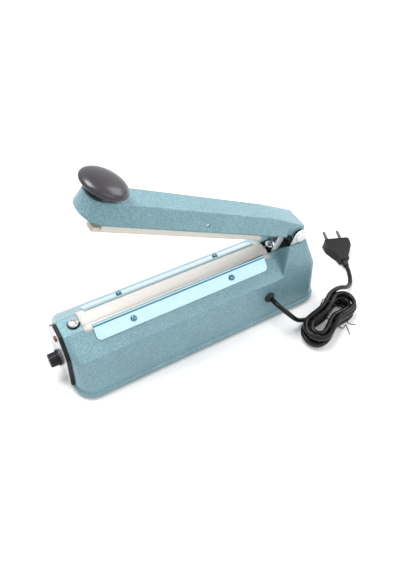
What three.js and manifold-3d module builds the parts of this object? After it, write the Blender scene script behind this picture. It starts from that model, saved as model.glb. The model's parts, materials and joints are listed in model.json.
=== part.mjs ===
// A 200 mm hand impulse heat sealer, built in millimetres with +Z up.
// X runs from the timer end to the hinge end, -Y is the side where the mains lead comes out.
// The body is drawn with the front face of the casting at x = 0, and the arm stands open.
// The whole sealer is moved at the end, so that the origin lies under its middle on the floor.
import * as THREE from 'three';
import { mergeVertices } from 'three/addons/utils/BufferGeometryUtils.js';
import Module from 'manifold-3d';

const wasm = await Module();
wasm.setup();

// Clearances and shared values
const gap = 0.3; // between faces that touch on the real thing
const fineGap = 0.15; // between thin layers laid on each other
const overrun = 2; // how far a cutting shape runs past what it cuts
const rightAngle = Math.PI / 2;

// Casting
const castingLength = 296; // at the crease, front face to rear face
const rearDraft = 4.5; // how much further back the rear wall stands at its foot
const footHeight = 3.7;
const castingBottom = 3;
const lipTop = 8.5;
const wallFoot = 9.5; // height where the wall starts above the lip
const creaseHeight = 56.2;
const deckHeight = 77;
const lipReach = 2.1; // how far the lip stands out from the wall
const wallFootHalfWidth = 43.6;
const creaseHalfWidth = 34;
const deckHalfWidth = 10.2;
const footCornerRadius = 18.6;
const rearFootCornerRadius = 14;
const creaseCornerRadius = 9.3;
const deckCornerRadius = 1.8;
const castingWall = 3;
const cornerSteps = 5;

// Hinge tower at the rear of the casting
const towerFrontFoot = 247.8; // x of its front edge at the crease
const towerFrontTop = 255; // x of its front edge at the top
const towerRearTop = 279.5;
const towerAboveDeck = 15.5;
const towerHeight = deckHeight + towerAboveDeck;
const towerTopHalfWidth = 24;
const towerTopCornerRadius = 3.2;
const wellFront = 257;
const wellRear = 281;
const wellHalfWidth = 21.1;
const rearWallHeight = 76; // the rear wall between the ears stops here
const ledgeHeight = 58; // height of the ledges that the hinge plates stand on
const shaftFront = 242;
const shaftHalfWidth = 14.5; // the narrower opening between those ledges
const shelfBelowTower = 44.3;
const shelfTop = towerHeight - shelfBelowTower; // floor of the shaft, which carries the microswitch
const slotFront = 240; // opening in the deck for the rear terminal
const slotHalfWidth = 8.6;

// Hinge
const pinX = 270.14;
const pinAboveTower = 8.24;
const pinHeight = towerHeight + pinAboveTower;
const openAngle = 27.6;
const pinRadius = 4;
const pinHeadRadius = 6;
const pinHeadThickness = 2.4;
const pinRunning = 0.25; // radial clearance round the pin
const plateThickness = 2.4;
const plateHalfWidth = 10.2;
const plateTopRadius = 7.8;
const plateSpan = 36.8; // clear distance between the two plates
const clipThickness = 1.2;
const clipRadius = 6.3;
const spacerRadius = 6.6;

// Return spring on its two studs
const rodX = 263.9;
const rodBelowPin = 11.74;
const rodHeight = pinHeight - rodBelowPin;
const rodRadius = 2.6;
const wireRadius = 0.65;
const coilRadius = 4.3; // to the middle of the wire
const coilPitch = 1.75;
const coilTurns = 4; // whole turns, less the part that the leaving leg saves
const coilInner = 10; // how far the inner turn lies from the middle
const studInner = 9.4;
const studSeat = 2.5; // how far a stud reaches into the casting
const coilSteps = 8; // steps in a turn
const springReach = 31; // where the spring's bow presses on the arm, ahead of the pin
const springFootHeight = 70;

// Arm, drawn closed: d ahead of the pin, h above the pin
const armLength = 268;
const armBottom = -3.16;
const armTop = 13.71;
const armBottomHalfWidth = 19.84;
const armTopHalfWidth = 12;
const noseBottomRadius = 17;
const noseTopRadius = 11;
const armWall = 2.6;
const armSlopeStart = 50; // where the top starts to fall towards the tail
const armTail = 6; // how far the tail reaches behind the pin
const armTailTop = 9.5;
const armTailBottom = 5.5;
const cheekRadius = 7.6;
const cheekOuter = 15.5;
const cheekInner = 12.9;
const pocketRadius = 21.5;
const hingeRoof = 6.5; // underside of the arm's roof between the cheeks
const bottomEdgeStart = 9; // where the straight lower edge starts ahead of the pin

// Press knob
const knobBehindNose = 14.5;
const knobPlace = armLength - knobBehindNose; // ahead of the pin
const knobRadius = 21;
const knobRimHeight = 22.4;
const knobCrown = 7.8;
const knobBelly = 5.4;
const knobNeckRadius = 8.6;
const knobFlangeRadius = 11.5;
const knobFlangeHeight = 2.2;
const knobSides = 40;
const knobScrewRadius = 2.4;
const knobScrewHead = 4.4;
const knobScrewHeadHeight = 3;
const knobScrewReach = 9;

// Pressure bar
const barFront = 242;
const barRear = 44;
const barTop = -6;
const barBottom = -18.6;
const barHalfWidth = 6.5;
const barWall = 1;
const siliconeFront = 249;
const siliconeRear = 38;
const siliconeHalfWidth = 5.2;
const siliconeBottom = -21.54;
const siliconeSeat = 2.5; // how deep the strip sits in the bar
const barPivot = 140.8;
const barPivotHeight = 2.3;
const barPivotRadius = 2;
const lugHalfLength = 9;
const lugTopRadius = 4.4;

// Switch striker, a bent steel strip under the arm
const strikerFront = 14.2;
const strikerRear = 5;
const strikerKnee = -13.5; // below this the blade narrows
const strikerTipFront = 10.5;
const strikerTipRear = 3.5;
const strikerInner = 6.4;
const strikerThickness = 1.6;
const strikerFoot = -33.9;
const strikerScrewRadius = 1.6;
const strikerScrewHead = 3;
const strikerFlange = 11; // how far its top flange runs along the roof
const strikerScrewHeadHeight = 2;
const strikerScrewSeat = 2.6; // how deep the screw goes into the roof

// Sealing bed
const stripHalfWidth = 5;
const stripThickness = 0.9;
const stripFront = 22;
const stripRear = 239;
const elementHalfWidth = 1;
const elementThickness = 0.25;
const clothThickness = 0.25;
const clothFront = 21;
const clothRear = 239.6;
const clothDrop = 4; // how far the cloth hangs down each slope
const clampThickness = 0.9;
const clampFront = 29.7;
const clampRear = 231.8;
const clampFlange = 1.2;
const clampSlopeLength = 15.9;
const clampCornerRadius = 5;
const clampScrewFront = 70.5;
const clampScrewRear = 186.5;
const clampScrewDown = 8.3; // from the bend down the slope
const clampScrewHead = 3.2;
const clampScrewHeadHeight = 2.2;
const clampScrewRadius = 1.5;
const clampScrewReach = 7;
const screwSides = 16;

// Terminals of the heating element
const frontTerminal = 14.6;
const rearTerminal = 248;
const terminalHead = 5.4;
const terminalHeadHeight = 3.2;
const terminalRadius = 2;
const bushRadius = 6.5;
const bushFlange = 0.9;
const bushNeck = 4.6;
const bushDepth = 9;
const blockHalfLength = 5.4;
const blockHalfWidth = 6;
const blockFootHeight = 7; // the part of it that stays under the deck
const blockFootSide = 12; // how far that part reaches to the far side
const blockFootTop = deckHeight - castingWall - gap;

// Front panel with the timer
const capThickness = 3.3;
const capInset = 0.4; // the cap stands inside the casting's front outline
const capBottom = 9.8;
const capRim = 0.8; // how far the dial plate stays inside the cap
const plateDepth = 0.6;
const panelTop = 76.3;
const lampRadius = 3.2;
const lampBelowDeck = 12;
const lampHeight = deckHeight - lampBelowDeck;
const lampReach = 2.2;
const lampBodyLength = 14;
const timerHeight = 31.5;
const timerRadius = 7.5;
const timerFlange = 8.75;
const timerFlangeLength = 2.6;
const timerReach = 10.6;
const timerRibs = 18;
const timerRibDepth = 0.5;
const shaftRadius = 3;
const shaftReach = 8;
const threadRadius = 3.5;
const nutRadius = 5.6;
const nutThickness = 2;
const potRadius = 8;
const potLength = 9;

// Inside the base
const baseThickness = 1.5;
const footRadius = 7;
const footInset = 19;
const footSide = 33;
const footWell = 4.2;
const footWellDepth = 2.4;
const baseScrewRadius = 1.7;
const baseScrewHead = 3.4;
const baseScrewHeadHeight = 1.4;
const bossRadius = 4.4;
const baseScrewReach = 9;
const coreLength = 48;
const coreWidth = 22;
const coreHeight = 42;
const coreX = 110;
const windowShare = 0.3; // each winding window as a share of the core's length
const windowHeightShare = 0.6;
const windingWall = 8;
const boardLength = 46;
const boardHeight = 34;
const boardThickness = 1.6;
const boardX = 20;
const boardSide = 17;
const relayLength = 19;
const relayHeight = 15;
const relayDepth = 15;
const railHeight = 4;

// Microswitch under the striker
const switchLength = 27.8;
const switchWidth = 10.3;
const switchAboveShelf = 16.2;
const switchTop = shelfTop + switchAboveShelf;
const switchX = 262;
const switchY = -7.2;
const plungerRadius = 1.6;
const plungerReach = 2; // how far it stands out at rest
const plungerDepth = 4;
const shelfThickness = 3;
const cavityCrease = 54.8; // height of the crease on the inside of the casting
const windowHalfWidth = 18; // opening behind the front panel
const windowBottom = 16;
const windowTop = 47;

// Mains lead
const cordRadius = 2.8;
const cordSides = 8;
const grommetX = 230;
const grommetHeight = 36.5;
const grommetRadius = 6.4;
const grommetNeck = 5;
const grommetFlange = 1.9;
const grommetNose = 4.3;
const grommetNoseLength = 2.4;

// The lead's free stretches, from the grommet to the hank and from the hank to the plug
const leadRoute = [
  [232.5, -57.5, 38], [238.4, -64.8, 33.8], [244.2, -67.4, 25.5], [248.8, -65.8, 15.6],
  [256, -62.6, 8], [265.5, -62.6, 4.4], [273.5, -65.3, 3.7],
];
const tailRoute = [
  [327, -54.3, 19.8], [335.2, -55.2, 14.5], [343.2, -55, 8.2], [351, -51.6, 3.9], [357.8, -45.6, 3.2],
  [363.2, -38.4, 5],
];

// Hank of the lead, six loops drawn in at the waist
const hankX = 290.5;
const hankY = -83;
const hankTurn = 18; // degrees from the X axis
const hankLength = 92;
const hankHalfWidth = 19.6;
const hankPitch = 6.8; // between turns that lie beside each other
const hankRise = 6.25; // between layers
const hankLoops = 6;
const hankLayers = 4;
const hankDrawIn = 3.6;
const hankSteps = 24; // in a loop
const hankSides = 6;
const hankEndShare = 0.11; // how far past whole loops the hank ends, as a share of a loop
const tiePlace = 7; // from the middle of the hank
const tieRadius = 0.6;
const tieGap = 0.4;
const tieTail = 11;

// Plug with two round pins
const plugX = 366.4; // where the lead enters it
const plugY = -27.0;
const plugTurn = 19.4; // degrees that its axis turns away from +Y towards +X
const plugLength = 35;
const plugWidth = 33.5;
const plugThickness = 13.6;
const plugNeckWidth = 11;
const reliefLength = 9;
const reliefRadius = 4.7;
const plugPinSpacing = 19;
const plugPinRadius = 2;
const plugPinLength = 19;
const plugPinDepth = 6; // how far a pin reaches into the body

// Colours and finishes
const finishes = {
  hammertone: { color: 0x86a7b0, roughness: 0.42, metalness: 0.3 },
  blackPlastic: { color: 0x1d1c20, roughness: 0.5, metalness: 0 },
  knobPlastic: { color: 0x3a383d, roughness: 0.38, metalness: 0 },
  brightSteel: { color: 0xd3d6d8, roughness: 0.28, metalness: 1 },
  clampSteel: { color: 0xcfe6ec, roughness: 0.25, metalness: 0.7 },
  brushedPlate: { color: 0xc4c6c8, roughness: 0.35, metalness: 0.9 },
  whiteBar: { color: 0xeceae4, roughness: 0.5, metalness: 0.1 },
  silicone: { color: 0xe0d3c4, roughness: 0.7, metalness: 0 },
  cloth: { color: 0xece6dc, roughness: 0.6, metalness: 0 },
  resistance: { color: 0x9a9488, roughness: 0.4, metalness: 0.9 },
  rubber: { color: 0x232224, roughness: 0.8, metalness: 0 },
  cordSheath: { color: 0x1b1a1d, roughness: 0.45, metalness: 0 },
  springSteel: { color: 0x26262a, roughness: 0.35, metalness: 0.8 },
  circuitBoard: { color: 0x3f6b45, roughness: 0.6, metalness: 0 },
  copperWinding: { color: 0x9c5a2c, roughness: 0.4, metalness: 0.6 },
  lampGlass: { color: 0x5a1c1c, roughness: 0.2, metalness: 0 },
};

// Plain helpers for shapes

function solidOf(geometry) {
  const clean = geometry.clone();
  clean.deleteAttribute('normal');
  clean.deleteAttribute('uv');
  const merged = mergeVertices(clean, 1e-4);
  return new wasm.Manifold(new wasm.Mesh({
    numProp: 3,
    vertProperties: new Float32Array(merged.attributes.position.array),
    triVerts: new Uint32Array(merged.index.array),
  }));
}

function geometryOf(solid) {
  const mesh = solid.getMesh();
  const geometry = new THREE.BufferGeometry();
  geometry.setAttribute('position', new THREE.BufferAttribute(new Float32Array(mesh.vertProperties), 3));
  geometry.setIndex(new THREE.BufferAttribute(new Uint32Array(mesh.triVerts), 1));
  return geometry;
}

function shapeOf(outline) {
  return new THREE.Shape(outline.map(([u, v]) => new THREE.Vector2(u, v)));
}

function extruded(outline, depth) {
  return new THREE.ExtrudeGeometry(shapeOf(outline), { depth, bevelEnabled: false, steps: 1 });
}

// An outline of [y, z] points, run from x0 to x1
function alongX(outline, x0, x1) {
  const basis = new THREE.Matrix4().makeBasis(
    new THREE.Vector3(0, 1, 0), new THREE.Vector3(0, 0, 1), new THREE.Vector3(1, 0, 0));
  return solidOf(extruded(outline, x1 - x0).applyMatrix4(basis).translate(x0, 0, 0));
}

// An outline of [x, z] points, run from y0 to y1
function alongY(outline, y0, y1) {
  const basis = new THREE.Matrix4().makeBasis(
    new THREE.Vector3(1, 0, 0), new THREE.Vector3(0, 0, 1), new THREE.Vector3(0, -1, 0));
  return solidOf(extruded(outline, y1 - y0).applyMatrix4(basis).translate(0, y1, 0));
}

// An outline of [x, y] points, run from z0 to z1
function alongZ(outline, z0, z1) {
  return solidOf(extruded(outline, z1 - z0).translate(0, 0, z0));
}

function rectangle(u0, u1, v0, v1) {
  return [[u0, v0], [u1, v0], [u1, v1], [u0, v1]];
}

function block(x0, x1, y0, y1, z0, z1) {
  const box = new THREE.BoxGeometry(x1 - x0, y1 - y0, z1 - z0);
  return solidOf(box.translate((x0 + x1) / 2, (y0 + y1) / 2, (z0 + z1) / 2));
}

// A shape turned round Z from [radius, height] points that start and end on the axis
function turned(profile, sides = 32) {
  const points = profile.map(([r, h]) => new THREE.Vector2(r, h));
  return solidOf(new THREE.LatheGeometry(points, sides).rotateX(rightAngle));
}

function disc(radius, from, to, sides = 32) {
  return turned([[0, from], [radius, from], [radius, to], [0, to]], sides);
}

// A turned shape with its axis on X, pointing to -X
function facingFront(solid, y, z) {
  return solid.rotate([0, -90, 0]).translate([0, y, z]);
}

// A turned shape with its axis on Y, pointing to -Y or, from the far side, to +Y
function facingSide(solid, x, z, far = false) {
  return solid.rotate([far ? -90 : 90, 0, 0]).translate([x, 0, z]);
}

function arcPoints(centreU, centreV, radius, from, to, steps) {
  return Array.from({ length: steps + 1 }, (_, i) => {
    const angle = THREE.MathUtils.degToRad(from + (to - from) * (i / steps));
    return [centreU + radius * Math.cos(angle), centreV + radius * Math.sin(angle)];
  });
}

// A closed skin through level rings of points, all rings with as many points
function lofted(rings) {
  const count = rings[0].length;
  const points = rings.flat();
  const faces = [];
  for (let level = 0; level + 1 < rings.length; level += 1) {
    for (let i = 0; i < count; i += 1) {
      const a = level * count + i;
      const b = level * count + (i + 1) % count;
      faces.push(a, b, b + count, a, b + count, a + count);
    }
  }
  const cap = (ring) => THREE.ShapeUtils.triangulateShape(
    ring.map(([x, y]) => new THREE.Vector2(x, y)), []);
  const last = (rings.length - 1) * count;
  for (const [a, b, c] of cap(rings[0])) faces.push(c, b, a);
  for (const [a, b, c] of cap(rings[rings.length - 1])) faces.push(last + a, last + b, last + c);
  const geometry = new THREE.BufferGeometry();
  geometry.setAttribute('position', new THREE.Float32BufferAttribute(points.flat(), 3));
  geometry.setIndex(faces);
  return solidOf(geometry);
}

// A level ring with round corners, one radius in front and one behind
function roundedRing(x0, x1, halfWidth, frontRadius, rearRadius, z) {
  const corners = [
    arcPoints(x1 - rearRadius, halfWidth - rearRadius, rearRadius, 0, 90, cornerSteps),
    arcPoints(x0 + frontRadius, halfWidth - frontRadius, frontRadius, 90, 180, cornerSteps),
    arcPoints(x0 + frontRadius, frontRadius - halfWidth, frontRadius, 180, 270, cornerSteps),
    arcPoints(x1 - rearRadius, rearRadius - halfWidth, rearRadius, 270, 360, cornerSteps),
  ];
  return corners.flat().map(([x, y]) => [x, y, z]);
}

function joined(solids) {
  return solids.reduce((all, next) => all.add(next));
}

function cutBy(solid, cutters) {
  return cutters.reduce((left, next) => left.subtract(next), solid);
}

function between(a, b, share) {
  return a + (b - a) * share;
}

const sealer = new THREE.Group();
const arm = new THREE.Group();
sealer.add(arm);

function place(name, solid, finish, parent = sealer) {
  const geometry = solid.isBufferGeometry ? solid : geometryOf(solid);
  const material = new THREE.MeshStandardMaterial({ ...finishes[finish], flatShading: true });
  const mesh = new THREE.Mesh(geometry, material);
  mesh.name = name;
  parent.add(mesh);
  return mesh;
}

// Places that several pieces share

const slopeRun = Math.hypot(creaseHalfWidth - deckHalfWidth, deckHeight - creaseHeight);
const slopeOut = (creaseHalfWidth - deckHalfWidth) / slopeRun;
const slopeDown = (deckHeight - creaseHeight) / slopeRun;
const slopeTilt = THREE.MathUtils.radToDeg(Math.atan2(slopeDown, slopeOut));

// A [y, z] point on a slope of the casting, down from the deck's edge and out from the surface
function onSlope(side, down, out) {
  const y = deckHalfWidth + down * slopeOut + out * slopeDown;
  const z = deckHeight - down * slopeDown + out * slopeOut;
  return [side * y, z];
}

const wallLean = (wallFootHalfWidth - creaseHalfWidth) / (creaseHeight - wallFoot);
const wallTilt = THREE.MathUtils.radToDeg(Math.atan(wallLean));

function wallHalfWidth(z) {
  return wallFootHalfWidth - (z - wallFoot) * wallLean;
}

const castingRear = castingLength + rearDraft;
const footPlaces = [
  [footInset, -footSide], [footInset, footSide],
  [castingRear - footInset, -footSide], [castingRear - footInset, footSide],
];
const baseBottom = footHeight + gap;
const baseTop = baseBottom + baseThickness;
const bossBottom = baseTop + gap;
const clampScrewPlaces = [
  [clampScrewFront, -1], [clampScrewRear, -1], [clampScrewFront, 1], [clampScrewRear, 1],
];
const clothOut = fineGap + clothThickness;
const clampOut = clothOut + fineGap;

const strikerScrewPlace = [
  -(strikerFront + strikerRear) / 2, strikerFlange / 2 - strikerInner - strikerThickness,
];

// Lower housing

function castingOutside() {
  const lipRing = (z) => roundedRing(-lipReach, castingRear + lipReach, wallFootHalfWidth + lipReach,
    footCornerRadius + lipReach, rearFootCornerRadius + lipReach, z);
  const body = lofted([
    lipRing(castingBottom),
    lipRing(lipTop),
    roundedRing(0, castingRear, wallFootHalfWidth, footCornerRadius, rearFootCornerRadius, wallFoot),
    roundedRing(0, castingLength, creaseHalfWidth, creaseCornerRadius, creaseCornerRadius, creaseHeight),
    roundedRing(0, towerRearTop, deckHalfWidth, deckCornerRadius, deckCornerRadius, deckHeight),
  ]);
  const sunk = creaseHeight - overrun;
  const tower = lofted([
    roundedRing(towerFrontFoot, castingLength, creaseHalfWidth, deckCornerRadius, creaseCornerRadius, sunk),
    roundedRing(towerFrontFoot, castingLength, creaseHalfWidth, deckCornerRadius, creaseCornerRadius,
      creaseHeight),
    roundedRing(towerFrontTop, towerRearTop, towerTopHalfWidth, deckCornerRadius, towerTopCornerRadius,
      towerHeight),
  ]);
  return body.add(tower);
}

function castingCavity() {
  const footRadiusInside = footCornerRadius - castingWall;
  const rearRadiusInside = rearFootCornerRadius - castingWall;
  const creaseRadiusInside = creaseCornerRadius - castingWall;
  const roof = deckHeight - castingWall;
  const roofHalfWidth = onSlope(1, castingWall / slopeDown, 0)[0] - castingWall / slopeDown;
  const cavity = lofted([
    roundedRing(castingWall, castingRear - castingWall, wallFootHalfWidth - castingWall,
      footRadiusInside, rearRadiusInside, castingBottom - overrun),
    roundedRing(castingWall, castingRear - castingWall, wallFootHalfWidth - castingWall,
      footRadiusInside, rearRadiusInside, wallFoot),
    roundedRing(castingWall, castingLength - castingWall, creaseHalfWidth - castingWall,
      creaseRadiusInside, creaseRadiusInside, cavityCrease),
    roundedRing(castingWall, towerRearTop, roofHalfWidth, deckCornerRadius, deckCornerRadius, roof),
  ]);
  const shelfBottom = shelfTop - shelfThickness;
  const towerCore = block(towerFrontFoot, castingRear, -creaseHalfWidth, creaseHalfWidth,
    shelfBottom, deckHeight);
  return cavity.subtract(towerCore);
}

function towerOpenings() {
  const top = towerHeight + overrun;
  const well = block(wellFront, wellRear, -wellHalfWidth, wellHalfWidth, ledgeHeight, top);
  const rearNotch = block(wellFront, castingRear, -wellHalfWidth, wellHalfWidth, rearWallHeight, top);
  const shaft = block(shaftFront, wellRear, -shaftHalfWidth, shaftHalfWidth, shelfTop,
    deckHeight - castingWall);
  const slot = block(slotFront, wellFront + overrun, -slotHalfWidth, slotHalfWidth,
    deckHeight - castingWall - overrun, deckHeight + overrun);
  const vee = alongX([
    [-slotHalfWidth, deckHeight], [slotHalfWidth, deckHeight],
    [wellHalfWidth, towerHeight], [wellHalfWidth, top],
    [-wellHalfWidth, top], [-wellHalfWidth, towerHeight],
  ], towerFrontFoot, wellFront + overrun);
  return [well, rearNotch, shaft, slot, vee];
}

function grommetTurned(profile) {
  return turned(profile, 24).rotate([90 - wallTilt, 0, 0])
    .translate([grommetX, -wallHalfWidth(grommetHeight), grommetHeight]);
}

function castingHoles() {
  const window = alongX(rectangle(-windowHalfWidth, windowHalfWidth, windowBottom, windowTop),
    -overrun, castingWall + overrun);
  const lampHole = facingFront(disc(lampRadius + gap, -castingWall - overrun, overrun), 0, lampHeight);
  const terminalHole = disc(bushNeck + gap, deckHeight - castingWall - overrun, deckHeight + overrun)
    .translate([frontTerminal, 0, 0]);
  const cordReach = castingWall + overrun;
  const cordHole = grommetTurned([[0, -cordReach], [grommetNeck + gap, -cordReach],
    [grommetNeck + gap, overrun], [0, overrun]]);
  const clampHoles = clampScrewPlaces.map(([x, side]) => onClamp(
    disc(clampScrewRadius + gap, -clampScrewReach - overrun, overrun, screwSides), x, side));
  const footHoles = footPlaces.map(([x, y]) => disc(baseScrewRadius + gap, bossBottom - overrun,
    baseBottom + baseScrewReach + gap, screwSides).translate([x, y, 0]));
  const studHoles = [false, true].map((far) => facingSide(
    disc(rodRadius + gap, wellHalfWidth - overrun, wellHalfWidth + studSeat + gap, screwSides),
    rodX, rodHeight, far));
  return [...studHoles, window, lampHole, terminalHole, cordHole, ...clampHoles, ...footHoles];
}

// A turned shape stood on a slope at a clamp screw's place
function onClamp(solid, x, side) {
  const [y, z] = onSlope(side, clampScrewDown, 0);
  return solid.rotate([-side * slopeTilt, 0, 0]).translate([x, y, z]);
}

function lowerHousing() {
  const boss = ([x, y]) => disc(bossRadius, bossBottom, creaseHeight / 2, screwSides).translate([x, y, 0]);
  const outside = castingOutside();
  const bosses = joined(footPlaces.map(boss)).intersect(outside);
  const shell = cutBy(outside, [castingCavity(), ...towerOpenings()]).add(bosses);
  return cutBy(shell, castingHoles());
}

place('lower_housing', lowerHousing(), 'hammertone');

// Base plate, feet and their screws

function basePlate() {
  const edge = castingWall + gap;
  const ring = (z) => roundedRing(edge, castingRear - edge, wallFootHalfWidth - edge,
    footCornerRadius - edge, rearFootCornerRadius - edge, z);
  const holes = footPlaces.map(([x, y]) => disc(baseScrewRadius + gap, baseBottom - overrun,
    baseTop + overrun, screwSides).translate([x, y, 0]));
  return cutBy(lofted([ring(baseBottom), ring(baseTop)]), holes);
}

function rubberFoot() {
  return turned([
    [0, footWellDepth], [footWell, footWellDepth], [footWell, 0], [footRadius - gap, 0],
    [footRadius, footHeight / 2], [footRadius, footHeight], [0, footHeight],
  ]);
}

function baseScrew() {
  const seat = footWellDepth - gap;
  return turned([
    [0, seat - baseScrewHeadHeight], [baseScrewHead * 0.8, seat - baseScrewHeadHeight],
    [baseScrewHead, seat - baseScrewHeadHeight / 2], [baseScrewHead, seat], [baseScrewRadius, seat],
    [baseScrewRadius, baseBottom + baseScrewReach], [0, baseBottom + baseScrewReach],
  ], screwSides);
}

place('base_plate', basePlate(), 'brightSteel');
footPlaces.forEach(([x, y], i) => {
  const hole = disc(baseScrewRadius + gap, -overrun, footHeight + overrun, screwSides);
  place(`rubber_foot_${i + 1}`, rubberFoot().subtract(hole).translate([x, y, 0]), 'rubber');
  place(`base_screw_${i + 1}`, baseScrew().translate([x, y, 0]), 'brightSteel');
});

// Front panel, lamp and timer

// The six-sided outline of the casting's flat front, drawn in by a margin
function panelOutline(margin) {
  const low = wallFootHalfWidth - footCornerRadius - margin;
  const wide = creaseHalfWidth - creaseCornerRadius - margin;
  const high = deckHalfWidth - deckCornerRadius - margin / 2;
  const bottom = capBottom + margin;
  const top = panelTop - margin / 2;
  return [
    [-low, bottom], [low, bottom], [wide, creaseHeight], [high, top], [-high, top], [-wide, creaseHeight],
  ];
}

const capFront = -capThickness - gap;
const plateFront = capFront - gap - plateDepth;

function endCap() {
  const cap = alongX(panelOutline(capInset), capFront, -gap);
  const lampHole = facingFront(disc(lampRadius + gap, -overrun, capThickness + overrun * 2), 0, lampHeight);
  const shaftHole = facingFront(disc(threadRadius + gap, -overrun, capThickness + overrun * 2), 0,
    timerHeight);
  return cutBy(cap, [lampHole, shaftHole]);
}

function dialPlate() {
  const plate = alongX(panelOutline(capInset + capRim), plateFront, capFront - gap);
  const depth = -plateFront + overrun;
  const lampHole = facingFront(disc(lampRadius + gap, 0, depth), 0, lampHeight);
  const nutHole = facingFront(disc(nutRadius + gap, 0, depth), 0, timerHeight);
  return cutBy(plate, [lampHole, nutHole]);
}

function indicatorLamp() {
  const face = -plateFront;
  return facingFront(turned([
    [0, -lampBodyLength], [lampRadius, -lampBodyLength], [lampRadius, face + lampReach / 2],
    [lampRadius * 0.8, face + lampReach * 0.85], [lampRadius * 0.4, face + lampReach], [0, face + lampReach],
  ], 24), 0, lampHeight);
}

const knobStart = -plateFront + gap * 2;
const knobEnd = knobStart + timerReach;

function potentiometer() {
  const reach = knobEnd - timerReach + shaftReach;
  return facingFront(turned([
    [0, -potLength], [potRadius, -potLength], [potRadius, 0], [threadRadius, 0],
    [threadRadius, knobStart - nutThickness / 2], [shaftRadius, knobStart - nutThickness / 2],
    [shaftRadius, reach], [0, reach],
  ], 24), 0, timerHeight);
}

function potentiometerNut() {
  const from = -capFront + gap;
  const nut = disc(nutRadius, from, from + nutThickness, 6);
  return facingFront(nut.subtract(disc(threadRadius + fineGap, from - overrun, from + nutThickness + overrun)),
    0, timerHeight);
}

function timerKnob() {
  const nutSpace = -capFront + gap + nutThickness + gap;
  const flangeEnd = knobStart + timerFlangeLength;
  const body = turned([
    [0, knobStart], [timerFlange, knobStart], [timerFlange, flangeEnd - gap], [timerRadius, flangeEnd],
    [timerRadius * 0.97, knobEnd - gap * 2], [timerRadius * 0.9, knobEnd], [0, knobEnd],
  ], timerRibs * 2);
  const groove = disc(timerRibDepth, flangeEnd, knobEnd + overrun, 6).translate([timerRadius, 0, 0]);
  const grooves = Array.from({ length: timerRibs }, (_, i) => groove.rotate([0, 0, (i * 360) / timerRibs]));
  const shaftSpace = disc(shaftRadius + gap, knobStart - overrun, knobStart + shaftReach + gap, 24);
  const nutPocket = disc(nutRadius + gap, knobStart - overrun, nutSpace, 24);
  return facingFront(cutBy(body, [...grooves, shaftSpace, nutPocket]), 0, timerHeight);
}

place('end_cap', endCap(), 'blackPlastic');
place('dial_plate', dialPlate(), 'brushedPlate');
place('indicator_lamp', indicatorLamp(), 'lampGlass');
place('potentiometer', potentiometer(), 'brightSteel');
place('potentiometer_nut', potentiometerNut(), 'brightSteel');
place('timer_knob', timerKnob(), 'blackPlastic');

// Timer board, transformer and microswitch inside the housing

const railTop = baseTop + gap + railHeight;

// The board stands on the base plate beside the potentiometer
function circuitBoard() {
  return block(boardX, boardX + boardLength, boardSide, boardSide + boardThickness,
    baseTop + gap, baseTop + gap + boardHeight);
}

function relay() {
  const x = boardX + (boardLength - relayLength) / 2;
  const y = boardSide + boardThickness + gap;
  const z = railTop + gap;
  return block(x, x + relayLength, y, y + relayDepth, z, z + relayHeight);
}

function transformerCore() {
  const bottom = baseTop + gap;
  const windowHalf = (coreHeight * windowHeightShare) / 2;
  const middle = bottom + coreHeight / 2;
  const core = block(coreX, coreX + coreLength, -coreWidth / 2, coreWidth / 2, bottom, bottom + coreHeight);
  const limb = (coreLength * (1 - 2 * windowShare)) / 4;
  const windowAt = (x) => block(x, x + coreLength * windowShare, -coreWidth, coreWidth,
    middle - windowHalf, middle + windowHalf);
  const middleLimb = coreX + limb + coreLength * windowShare + limb * 2;
  return cutBy(core, [windowAt(coreX + limb), windowAt(middleLimb)]);
}

function transformerWinding() {
  const bottom = baseTop + gap;
  const middle = bottom + coreHeight / 2;
  const half = (coreHeight * windowHeightShare) / 2 - gap;
  const limb = (coreLength * (1 - 2 * windowShare)) / 4;
  const innerFrom = coreX + limb + coreLength * windowShare - gap;
  const innerTo = innerFrom + limb * 2 + gap * 2;
  const wall = coreLength * windowShare - gap * 2;
  const outer = block(innerFrom - wall, innerTo + wall, -coreWidth / 2 - windingWall,
    coreWidth / 2 + windingWall, middle - half, middle + half);
  const inner = block(innerFrom, innerTo, -coreWidth / 2 - gap, coreWidth / 2 + gap,
    middle - half - overrun, middle + half + overrun);
  return outer.subtract(inner);
}

function microswitchBody() {
  const bottom = shelfTop + gap;
  const body = block(switchX - switchLength / 2, switchX + switchLength / 2,
    switchY - switchWidth / 2, switchY + switchWidth / 2, bottom, switchTop);
  const seat = disc(plungerRadius + gap, switchTop - plungerDepth - gap, switchTop + overrun, screwSides);
  return body.subtract(seat.translate([switchX, switchY, 0]));
}

function microswitchPlunger() {
  return turned([
    [0, switchTop - plungerDepth + plungerReach], [plungerRadius, switchTop - plungerDepth + plungerReach],
    [plungerRadius, switchTop + plungerReach - gap], [plungerRadius * 0.7, switchTop + plungerReach],
    [0, switchTop + plungerReach],
  ], screwSides).translate([switchX, switchY, 0]);
}

place('circuit_board', circuitBoard(), 'circuitBoard');
place('relay', relay(), 'blackPlastic');
place('transformer_core', transformerCore(), 'brightSteel');
place('transformer_winding', transformerWinding(), 'copperWinding');
place('microswitch_body', microswitchBody(), 'blackPlastic');
place('microswitch_plunger', microswitchPlunger(), 'blackPlastic');

// Hinge plates, pin, spacers and studs

const plateInner = plateSpan / 2;
const plateOuter = plateInner + plateThickness;

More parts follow.
